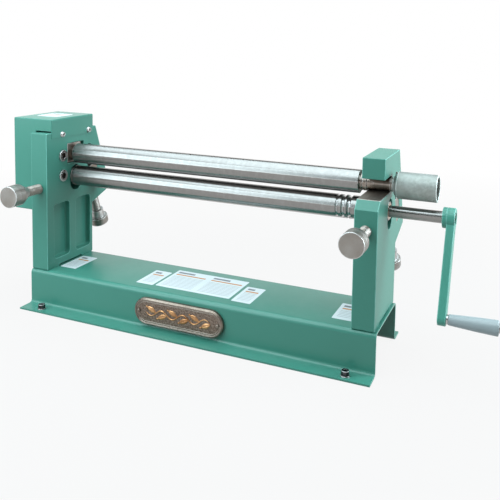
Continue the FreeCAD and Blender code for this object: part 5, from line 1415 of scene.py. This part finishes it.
# %% Tube, washers and screw
TUBE_AXIS = (0, AXIS_Y, TOP_Z)
COLLAR_START, COLLAR_END, COLLAR_OUTSIDE = 688.3, 691.8, 12.2
TUBE_END, TUBE_OUTSIDE, TUBE_INSIDE = 765.0, 22.5, 19.5
NECK_START, NECK_RADIUS, SHOULDER_END, WEB_END = 695.0, 17.0, 700.5, 703.5
TUBE_HUB_END, TUBE_HUB_RADIUS = 716.8, 14.0
WASHER_END, WASHER_BORE, WASHER_RADIUS = 718.8, 4.05, 9.5
SHAFT_BORE = SHAFT_RADIUS + CLOSE_FIT
EIGHT_MM = {"head": 8.0, "head_radius": 6.5, "shank_radius": 4, "socket": 6, "depth": 4}
tube_path = eased(
    [(COLLAR_END, SHAFT_BORE), (COLLAR_END, COLLAR_OUTSIDE), (NECK_START, COLLAR_OUTSIDE),
     (NECK_START, NECK_RADIUS), (SHOULDER_END, TUBE_OUTSIDE), (TUBE_END, TUBE_OUTSIDE),
     (TUBE_END, TUBE_INSIDE), (WEB_END, TUBE_INSIDE), (WEB_END, TUBE_HUB_RADIUS),
     (TUBE_HUB_END, TUBE_HUB_RADIUS), (TUBE_HUB_END, SHAFT_BORE)],
    [0.3, 0.3, 0.3, 0.8, 2.0, 0.9, 0.7, 1.5, 0.8, 0.5, 0.3], closed=True)
tube = turned(tube_path, TUBE_AXIS, X_AXIS, closed=True, steps=FINE_STEPS)
make_piece("lift_tube_zinc", [tube], zinc_tube, "top_roll", "lift_tube")
collar = sleeve(COLLAR_START, COLLAR_END, SHAFT_BORE, COLLAR_OUTSIDE, TUBE_AXIS, X_AXIS)
make_piece("journal_collar_steel", [collar], milled_steel, "top_roll",
           "journal_collar")
washer = sleeve(TUBE_HUB_END, WASHER_END, WASHER_BORE, WASHER_RADIUS, TUBE_AXIS, X_AXIS)
make_piece("lift_tube_washer_steel", [washer], plated_steel, "top_roll",
           "lift_tube_washer")
tube_screw = socket_screw(0, shank=23.7, centre=(WASHER_END, AXIS_Y, TOP_Z), axis=X_AXIS, **EIGHT_MM)
make_piece("lift_tube_screw_steel", [tube_screw], plated_steel, "top_roll",
           "lift_tube_screw")

# %% [markdown]
# ## Adjusting screws and knobs
# A screw thread is one more surface in two parameters: the radius follows a cosine along the
# axis whose phase turns once per revolution, which makes the ridges climb as a helix. The
# pitch is the travel that one turn of the knob gives: 2 mm in front and 3 mm behind.

# %% Threads
SCREW_RADIUS, SPIGOT_RADIUS, KNOB_RADIUS = 9.5, 6.0, 20.0
THREAD_DEPTH, CREST_WEAR, ROWS_A_TURN, ROWS_A_RIB = 0.55, 0.6, 8, 6


def threaded(start, end, radius, pitch, centre, axis, steps=64):
    """r(s, t) = radius - depth (1 - cos(2 pi s / pitch - t)) / 2, closed by flat ends."""
    count = int(round((end - start) / pitch * ROWS_A_TURN))
    s = np.linspace(start, end, count + 1)
    t = np.arange(steps) * 2 * math.pi / steps
    fade = np.clip(np.minimum(s - start, end - s) / pitch, 0, 1)
    wave = (1 - np.cos(2 * math.pi * s[:, None] / pitch - t[None])) / 2
    r = radius - THREAD_DEPTH * fade[:, None] * wave
    s = np.concatenate([s[:1], s, s[-1:]])
    zero = np.zeros((1, steps))
    r = np.concatenate([zero, r, zero])
    edge = np.concatenate([zero, 1 - wave, zero]) * CREST_WEAR
    return shell(round_axis(s, r, centre, axis), ring_quads(len(s), steps), edge=edge)


def ribbed(start, end, radius_start, radius_end, pitch, depth):
    """Rows of a straight or conical stretch with tool ribs, which lie under its line by
    depth (1 - cos(2 pi s / pitch)) / 2."""
    count = int(round(abs(end - start) / pitch)) * ROWS_A_RIB
    share = np.linspace(0, 1, count + 1)
    station = start + (end - start) * share
    wave = (1 - np.cos(2 * math.pi * share * count / ROWS_A_RIB)) / 2
    radius = radius_start + (radius_end - radius_start) * share - depth * wave
    return [(s, r, 0.0) for s, r in zip(station, radius)]


print("thread depth", THREAD_DEPTH, "mm")

# %% [markdown]
# A front knob is a bright round head and a darker cone that runs down to the screw. The rear
# knobs are shorter, with a wide rounded edge, and hang below the guides on slanted screws.
# Both have a flat face with an eased rim, and ribs left by the tool, so one function makes
# each knob with its screw.

# %% Knobs and their screws
MID_X = {"left": LEFT_X + THICK / 2, "right": RIGHT_X + THICK / 2}
GUIDE_AXIS = np.array([0, -math.sin(GUIDE_SLANT), math.cos(GUIDE_SLANT)])
KNOB_FACE, KNOB_STEP, KNOB_ROOT = -80.0, -53.0, -33.0
REAR_FACE, REAR_STEP, REAR_ROOT = -72.0, -55.0, -38.0
SCREW_END, COLLAR_RADIUS = 41.7, 14.0


def knob_profile(face, face_ease, step, shank, root):
    """Path from the middle of the face over the head and the ribbed shank into a blind bore."""
    bore, floor = SPIGOT_RADIUS + RUNNING_FIT, root - 12.2
    head = [(face, 0, 0), (face, KNOB_RADIUS, face_ease), (step, KNOB_RADIUS, 0.8)]
    return lathe_path(head + shank + [(root, bore, 0.2), (floor, bore, 0.2), (floor, 0, 0)])


def make_adjuster(place, side, profile, finishes, root, end, pitch, centre, axis):
    """A knob and its threaded screw, whose spigot sits in the knob; gives back the knob."""
    body = "%s_%s_adjuster" % (place, side)
    names = ["%s_%s_%s" % (place, side, part) for part in ("knob", "screw")]
    knob = make_piece(names[0] + "_steel", [turned(profile, centre, axis)], finishes, body,
                      names[0])
    screw = [threaded(root + 0.2, end, SCREW_RADIUS, pitch, centre, axis),
             rod(root - 12.0, root + 1.0, SPIGOT_RADIUS, centre, axis)]
    make_piece(names[1] + "_steel", screw, finishes[-1], body, names[1])
    return knob


def on_cone(x, y, z):
    """The front knob's cone and shank, next to the screw."""
    return y > KNOB_STEP - 0.2


cone = ribbed(KNOB_STEP + 0.6, KNOB_ROOT, KNOB_RADIUS - 0.6, SCREW_RADIUS + 0.1, 2.5, 0.35)
collar_ribs = ribbed(REAR_STEP, REAR_ROOT, COLLAR_RADIUS, COLLAR_RADIUS, 2.8, 0.3)
front_profile = knob_profile(KNOB_FACE, 1.0, KNOB_STEP, cone, KNOB_ROOT)
rear_profile = knob_profile(REAR_FACE, 3.0, REAR_STEP, collar_ribs, REAR_ROOT)
for side, x in MID_X.items():
    front_knob = make_adjuster("front", side, front_profile, [front_knob_steel, front_shank_steel],
                               KNOB_ROOT, SCREW_END, 2.0, (x, 0, ADJUSTER_Z), Y_AXIS)
    bare_where(front_knob, on_cone)
for side, x in MID_X.items():
    make_adjuster("rear", side, rear_profile, [rear_knob_steel], REAR_ROOT, GUIDE_START, 3.0,
                  (x, GUIDE_Y, GUIDE_Z), GUIDE_AXIS)

# %% [markdown]
# Each rear screw runs in a bore from below the ear up into the guide. The bore slants across
# the casting, so it is cut from the finished mesh by Blender's exact boolean, and the result
# replaces the mesh.

# %% Bores for the rear screws
BORE_REACH = (-20.0, GUIDE_START + GUIDE_HALF)
BORE_RADIUS = SCREW_RADIUS + 0.2


def drill(piece, centre):
    """The piece less a rod along the guide's axis, a little wider than the screw."""
    tool_mesh, _ = build_mesh("drill", [rod(*BORE_REACH, BORE_RADIUS, centre, GUIDE_AXIS)], [])
    tool = bpy.data.objects.new("drill", tool_mesh)
    scene.collection.objects.link(tool)
    cut = piece.modifiers.new("bore", "BOOLEAN")
    cut.operation, cut.solver, cut.object = "DIFFERENCE", "EXACT", tool
    ready = piece.evaluated_get(bpy.context.evaluated_depsgraph_get())
    drilled = bpy.data.meshes.new_from_object(ready)
    piece.modifiers.clear()
    solid, name = piece.data, piece.data.name
    piece.data = drilled
    bpy.data.meshes.remove(solid)
    bpy.data.objects.remove(tool)
    bpy.data.meshes.remove(tool_mesh)
    drilled.name = name
    print(piece.name, "drilled:", len(drilled.polygons), "faces")


for casting, x in zip((left_casting, right_casting), MID_X.values()):
    drill(casting, (x, GUIDE_Y, GUIDE_Z))

# %% [markdown]
# ## The crank
# The arm is a flat bar with a round hub, cast in one and enamelled in a paler copy of the
# standards' green, which paints in the extra light the crank catches. Its outline is a keyhole:
# most of a circle, two concave fillets and a long slot-like bar.

# %% Crank arm
HUB_RADIUS, ARM_HALF, ARM_LENGTH = 17.0, 11.0, 156.5
HUB_FILLET, ARM_START, ARM_EDGE = 4.0, 781.0, 1.5
SPINDLE_RADIUS = 5.0
DIMPLE_SPOT, DIMPLE_RADIUS, DIMPLE_DEPTH = (0, -24.0), 2.2, 6.0
REST_ANGLE = math.radians(26)


def keyhole_loop():
    """Hub arc, concave corners where it meets the bar's sides, and the bar's round end."""
    meet = math.degrees(math.asin(ARM_HALF / HUB_RADIUS))
    hub = arc((0, 0), HUB_RADIUS, meet - 90, 270 - meet, 48)
    tip = arc((0, -ARM_LENGTH), ARM_HALF, 180, 360, 24)
    ease = [HUB_FILLET] + [0.0] * (len(hub) - 2) + [HUB_FILLET] + [0.0] * len(tip)
    return eased(np.concatenate([hub, tip]), ease, closed=True)


def along_arm(start):
    """Places a plate drawn across the arm and from grip to hub."""
    c, s = math.cos(REST_ANGLE), math.sin(REST_ANGLE)
    return lambda a, b, depth: np.stack(
        [start + depth, AXIS_Y + a * c + b * s, LOW_Z - a * s + b * c], 1)


arm = plate(keyhole_loop(), HUB_END - ARM_START, ARM_EDGE, along_arm(ARM_START),
            holes=[ring_loop((0, 0), SHAFT_BORE),
                   ring_loop((0, -ARM_LENGTH), SPINDLE_RADIUS + CLOSE_FIT, 32)],
            back_pockets=[(ring_loop(DIMPLE_SPOT, DIMPLE_RADIUS, 32), DIMPLE_DEPTH, *SQUARE_CUT)],
            hole_edge=0.5)
boss = sleeve(HUB_START, ARM_START + 0.5, SHAFT_BORE, HUB_RADIUS - CLOSE_FIT, (0, AXIS_Y, LOW_Z),
              X_AXIS, ease=1.2)
make_piece("crank_arm_casting", [arm, boss], crank_enamel, "lower_roll", "crank_arm")

# %% [markdown]
# A set screw in the hub's side locks the arm to its shaft, and a riveted spindle carries the
# moulded grip. The grip swells towards its free end and turns on the spindle.

# %% Set screw, spindle and grip
GRIP_CENTRE = (0, AXIS_Y - ARM_LENGTH * math.sin(REST_ANGLE), LOW_Z - ARM_LENGTH * math.cos(REST_ANGLE))
SET_SCREW_AXIS = np.array([0, math.cos(REST_ANGLE), -math.sin(REST_ANGLE)])
SET_SCREW_LOW, SET_SCREW_FLOOR, SET_SCREW_TOP = 10.1, 13.9, 16.95
SET_SCREW_SOCKET, SET_SCREW_RADIUS = 1.5, 3.0
SPINDLE_SHOULDER, SHOULDER_WIDE, SPINDLE_STEM, SPINDLE_HEAD, HEAD_WIDE = 797.0, 7.5, 870.6, 875.6, 7.0
GRIP_START, GRIP_MIDDLE, GRIP_END = (797.3, 8.3), (837.3, 10.8), (870.3, 12.1)   # station, radius
GRIP_BORE = SPINDLE_RADIUS + RUNNING_FIT
set_screw_path = eased(
    [(SET_SCREW_FLOOR, 0, 1), (SET_SCREW_FLOOR, SET_SCREW_SOCKET, 1),
     (SET_SCREW_TOP, SET_SCREW_SOCKET, 1), (SET_SCREW_TOP, SET_SCREW_RADIUS, 0),
     (SET_SCREW_LOW, SET_SCREW_RADIUS, 0), (SET_SCREW_LOW, 0, 0)], [0.2, 0.2, 0.4, 0.3])
set_screw = turned(set_screw_path, (HUB_START + 10.0, AXIS_Y, LOW_Z), SET_SCREW_AXIS,
                   steps=SMALL_STEPS)
make_piece("crank_set_screw_steel", [set_screw], black_steel, "lower_roll",
           "crank_set_screw")
spindle_path = lathe_path(
    [(ARM_START, 0, 0), (ARM_START, SPINDLE_RADIUS, 0.4), (HUB_END, SPINDLE_RADIUS, 0.2),
     (HUB_END, SHOULDER_WIDE, 0.4), (SPINDLE_SHOULDER, SHOULDER_WIDE, 0.4),
     (SPINDLE_SHOULDER, SPINDLE_RADIUS, 0.2), (SPINDLE_STEM, SPINDLE_RADIUS, 0.2),
     (SPINDLE_STEM, HEAD_WIDE, 0.4), (SPINDLE_HEAD, HEAD_WIDE, 1.6), (SPINDLE_HEAD, 0, 0)])
make_piece("crank_spindle_steel", [turned(spindle_path, GRIP_CENTRE, X_AXIS)], plated_steel,
           "lower_roll", "crank_spindle")
grip_path = eased([(GRIP_START[0], GRIP_BORE), GRIP_START, GRIP_MIDDLE, GRIP_END,
                   (GRIP_END[0], GRIP_BORE)], [0.3, 1.2, 200.0, 3.0, 0.5], closed=True)
grip = turned(grip_path, GRIP_CENTRE, X_AXIS, closed=True)
make_piece("crank_grip_moulding", [grip], grip_plastic, "crank_grip", "crank_grip")

# %% [markdown]
# ## Bench screws
# Black socket screws on bright washers hold the flanges down, one near each corner.

# %% Screws in the flanges
BENCH_SPOTS = [(x, y) for x in (43.0, 649.0) for y in (-20.0, 168.0)]
WASHER_TOP = 4.6
heads = [socket_screw(WASHER_TOP, shank=4.4, centre=(*spot, 0), axis=Z_AXIS, spin=0.4 * k, **EIGHT_MM)
         for k, spot in enumerate(BENCH_SPOTS)]
make_piece("bench_screw_set", heads, black_steel, "frame", "bench_screws")
rings = [sleeve(SHEET, WASHER_TOP, WASHER_BORE, 8.0, (*spot, 0), Z_AXIS, ease=0.35)
         for spot in BENCH_SPOTS]
make_piece("bench_washer_set", rings, plated_steel, "frame", "bench_washers")

# %% [markdown]
# ## The nameplate
# The plate is a cast stadium with a bevelled rim and a sunk ground. Rings of its outline
# step over the rim by (inset, depth) pairs, and the last ring is filled. A thin frame line
# stands on the ground, and a copper vine takes the place of words.

# %% Nameplate body
PLATE_LEFT, PLATE_RIGHT, PLATE_MID_Z, PLATE_ROUND = 247.0, 427.0, 34.4, 25.0
PLATE_THICK, GROUND_DEPTH, LINE_DEPTH = 8.0, 1.8, 1.1
stadium = slot_loop((PLATE_LEFT + PLATE_ROUND, PLATE_MID_Z), (PLATE_RIGHT - PLATE_ROUND, PLATE_MID_Z),
                    PLATE_ROUND, 36)


def stepped_plate(loop, rows, place):
    """Rings of a loop by (inset, depth) rows, from the back face over the rim to the ground."""
    rows = np.asarray(rows, float)
    loop = loop if area_of(loop) > 0 else loop[::-1]
    flat = loop[None] + mitre(loop)[None] * rows[:, 0][:, None, None]
    count = len(loop)
    level = np.repeat(rows[:, 1], count)
    points = place(flat[..., 0].ravel(), flat[..., 1].ravel(), level)
    index = np.arange(count)
    caps = [fill_flat([(flat[row], index + row * count)], upwards)
            for row, upwards in ((0, True), (len(rows) - 1, False))]
    return shell(points, ring_quads(len(rows), count), np.concatenate(caps),
                 np.repeat(corner_wear(rows), count))


rim_rows = eased([(1.0, PLATE_THICK), (0, PLATE_THICK), (0, 2.4), (2.4, 0), (3.8, 0),
                  (4.6, GROUND_DEPTH), (6.2, GROUND_DEPTH), (6.5, LINE_DEPTH), (7.2, LINE_DEPTH),
                  (7.5, GROUND_DEPTH), (8.1, GROUND_DEPTH)],
                 [0.2, 0.5, 0.8, 0.5, 0.5, 0.2, 0.25, 0.25, 0.2])
plate_body = make_piece(
    "nameplate_casting", [stepped_plate(stadium, rim_rows, across_y(-PLATE_THICK))],
    plate_finishes, "frame", "nameplate")
ground_level = GROUND_DEPTH - PLATE_THICK
bare_where(plate_body, lambda x, y, z: np.abs(y - ground_level) < 0.12)

# %% [markdown]
# The ornament is a copper vine. Its stem is a round cord whose middle line is a sine wave,
# half sunk in the ground and thinner towards its ends. A leaf fills each bend of the wave. It
# is a dome over an ellipse drawn out to two points, with a sunk line along it for the vein,
# and a berry, which is a small round dome, hangs between the leaf and the stem.

# %% Copper vine
PLATE_CENTRE_X = (PLATE_LEFT + PLATE_RIGHT) / 2
WAVES, WAVE_LENGTH, WAVE_HEIGHT = 3, 44.0, 6.0
STEM_RADIUS = 1.5
LEAF_LENGTH, LEAF_WIDTH, LEAF_HEIGHT = 20.0, 9.6, 1.5
LEAF_SPOT, LEAF_TURN = (1.5, 5.0), math.radians(24)
BERRY_RADIUS, BERRY_HEIGHT, BERRY_SPOT = 1.9, 1.3, (-8.5, 9.6)
SUNK = 0.4   # how far a dome goes on below the ground


def stem_shell(steps=240, sides=16):
    """Cord along z = height sin(2 pi x / wavelength): each ring spans the line's own normal
    and Y, with a radius that falls to a third at both ends."""
    reach = WAVES * WAVE_LENGTH / 2
    x = np.linspace(-reach, reach, steps)
    z = WAVE_HEIGHT * np.sin(2 * math.pi * x / WAVE_LENGTH)
    along = np.stack([np.gradient(x), np.gradient(z)], 1)
    along /= np.linalg.norm(along, axis=1)[:, None]
    radius = STEM_RADIUS * (1 - 0.67 * (x / reach) ** 4)
    radius[[0, -1]] = 0
    t = np.arange(sides) * 2 * math.pi / sides
    out = radius[:, None] * np.cos(t)
    points = np.stack([PLATE_CENTRE_X + x[:, None] - along[:, 1:] * out,
                       ground_level - radius[:, None] * np.sin(t),
                       PLATE_MID_Z + z[:, None] + along[:, :1] * out], 2)
    return shell(points, ring_quads(steps, sides))


def domed(outline, middle, angle, height, crease=lambda flat: 0 * flat[..., 0], rings=9):
    """Dome over an outline turned by an angle about its middle: it rises as height times
    sqrt(1 - share^2), less a crease, and is closed below the ground."""
    share = np.sin(np.linspace(0, math.pi / 2, rings))[:, None]
    flat = outline[None] * share[..., None]
    lift = height * np.sqrt(np.clip(1 - share ** 2, 0, 1)) - crease(flat) * (1 - share ** 4)
    c, s = math.cos(angle), math.sin(angle)
    x = middle[0] + flat[..., 0] * c - flat[..., 1] * s
    z = middle[1] + flat[..., 0] * s + flat[..., 1] * c
    top = np.stack([x, ground_level - lift, z], 2)
    below = top[-1:].copy()
    below[..., 1] = ground_level + SUNK
    centre = np.broadcast_to(below.mean(1, keepdims=True), below.shape)
    points = np.concatenate([top, below, centre])
    return shell(points, ring_quads(len(points), len(outline)))


def leaf_outline(length, width, steps=64):
    """x = length/2 cos t, z = width/2 sin t |sin t|^0.6: an ellipse drawn out to two points."""
    t = np.arange(steps) * 2 * math.pi / steps
    return np.stack([length / 2 * np.cos(t), width / 2 * np.sin(t) * np.abs(np.sin(t)) ** 0.6], 1)


def vein(flat):
    """A sunk line along the leaf's middle."""
    return 0.5 * np.exp(-(flat[..., 1] / 0.45) ** 2)


ornament = [stem_shell()]
for bend in range(2 * WAVES):
    x = PLATE_CENTRE_X + (bend - WAVES + 0.5) * WAVE_LENGTH / 2
    side = 1 if (bend + WAVES) % 2 else -1
    leaf_spot, berry_spot = ((x + along, PLATE_MID_Z + side * up)
                             for along, up in (LEAF_SPOT, BERRY_SPOT))
    ornament.append(domed(leaf_outline(LEAF_LENGTH, LEAF_WIDTH), leaf_spot, -side * LEAF_TURN,
                          LEAF_HEIGHT, vein))
    ornament.append(domed(ring_loop((0, 0), BERRY_RADIUS, 32), berry_spot, 0, BERRY_HEIGHT))
make_piece("nameplate_ornament", ornament, copper_relief, "frame")

# %% Rivets of the nameplate
RIVET_END, RIVET_RADIUS, RIVET_INSET = 11.0, 2.0, 10.0
RIVET_HEAD = [(0, 3.4), (-1.3, 2.4), (-1.45, 0)]
rivet_path = eased([(RIVET_END, 0), (RIVET_END, RIVET_RADIUS), (0, RIVET_RADIUS), *RIVET_HEAD],
                   [0.3, 0.1, 0.2, 0.9])
rivets = [turned(rivet_path, (x, -PLATE_THICK, PLATE_MID_Z), Y_AXIS, steps=SMALL_STEPS)
          for x in (PLATE_LEFT + RIVET_INSET, PLATE_RIGHT - RIVET_INSET)]
make_piece("nameplate_rivet_pair", rivets, pewter_rim, "frame",
           "nameplate_rivets")

# %% [markdown]
# ## Film cards
# Printed cards lie on the channel's top and on the cover. Each is a thin plate with a UV map
# in millimetres from its middle, which the card finish reads for bars and rules.

# %% Cards
CARD_THICK, CARD_EDGE, CARD_CORNER = 0.15, 0.05, 2.0
CARDS = {  # left, right, front and rear side, and the level of the face it lies on
    "card_left_end": (43, 80, 35, 108, BED),
    "card_middle_left": (228, 264, 27, 100, BED),
    "card_large": (269, 421, 29, 120, BED),
    "card_middle_right": (427, 464, 24, 98, BED),
    "card_right_end": (609, 645, 31, 100, BED),
    "card_cover_top": (-34, 17, 59, 113, COVER_CROWN),
}


def lay_card_map(piece, middle):
    """UV of each corner: its place in millimetres from the card's middle."""
    mesh = piece.data
    spots = np.zeros(len(mesh.vertices) * 3, np.float32)
    mesh.vertices.foreach_get("co", spots)
    corners = np.zeros(len(mesh.loops), np.int32)
    mesh.loops.foreach_get("vertex_index", corners)
    flat = (spots.reshape(-1, 3) / MM - SHIFT)[:, :2] - np.array(middle)
    mesh.uv_layers.new(name="card").data.foreach_set("uv", flat[corners].astype(np.float32).ravel())


for name, (left, right, front, rear, level) in CARDS.items():
    outline = box_loop(left, right, front, rear, CARD_CORNER)
    sheet = plate(outline, CARD_THICK, CARD_EDGE, across_z(level))
    card = make_piece(name, [sheet], card_film(name + "_film", right - left, rear - front), "frame")
    lay_card_map(card, ((left + right) / 2, (front + rear) / 2))

# %% [markdown]
# ## Parts that keep their own shape
# Gears, keys, rings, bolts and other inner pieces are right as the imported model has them, so
# they only get a finish.

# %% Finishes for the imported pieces


def finish_nodes(material, names):
    """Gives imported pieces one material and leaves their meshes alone."""
    for name in names:
        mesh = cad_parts[name].data
        mesh.materials.clear()
        mesh.materials.append(material)
        mesh.polygons.foreach_set("material_index", np.zeros(len(mesh.polygons), np.int32))
    print(material.name, "on", ", ".join(names))


finish_nodes(gear_steel, ["lower_gear", "idler_gear_lower", "idler_gear_upper", "top_gear",
                          "lower_gear_key", "top_gear_key", "lower_gear_ring", "top_gear_ring",
                          "idler_retaining_rings"])
finish_nodes(bearing_bronze, ["idler_bush_lower", "idler_bush_upper"])
finish_nodes(plated_steel, ["standard_bolts", "standard_bolt_washers"])
finish_nodes(milled_steel, ["top_block_pivot", "front_left_wedge", "front_right_wedge"])
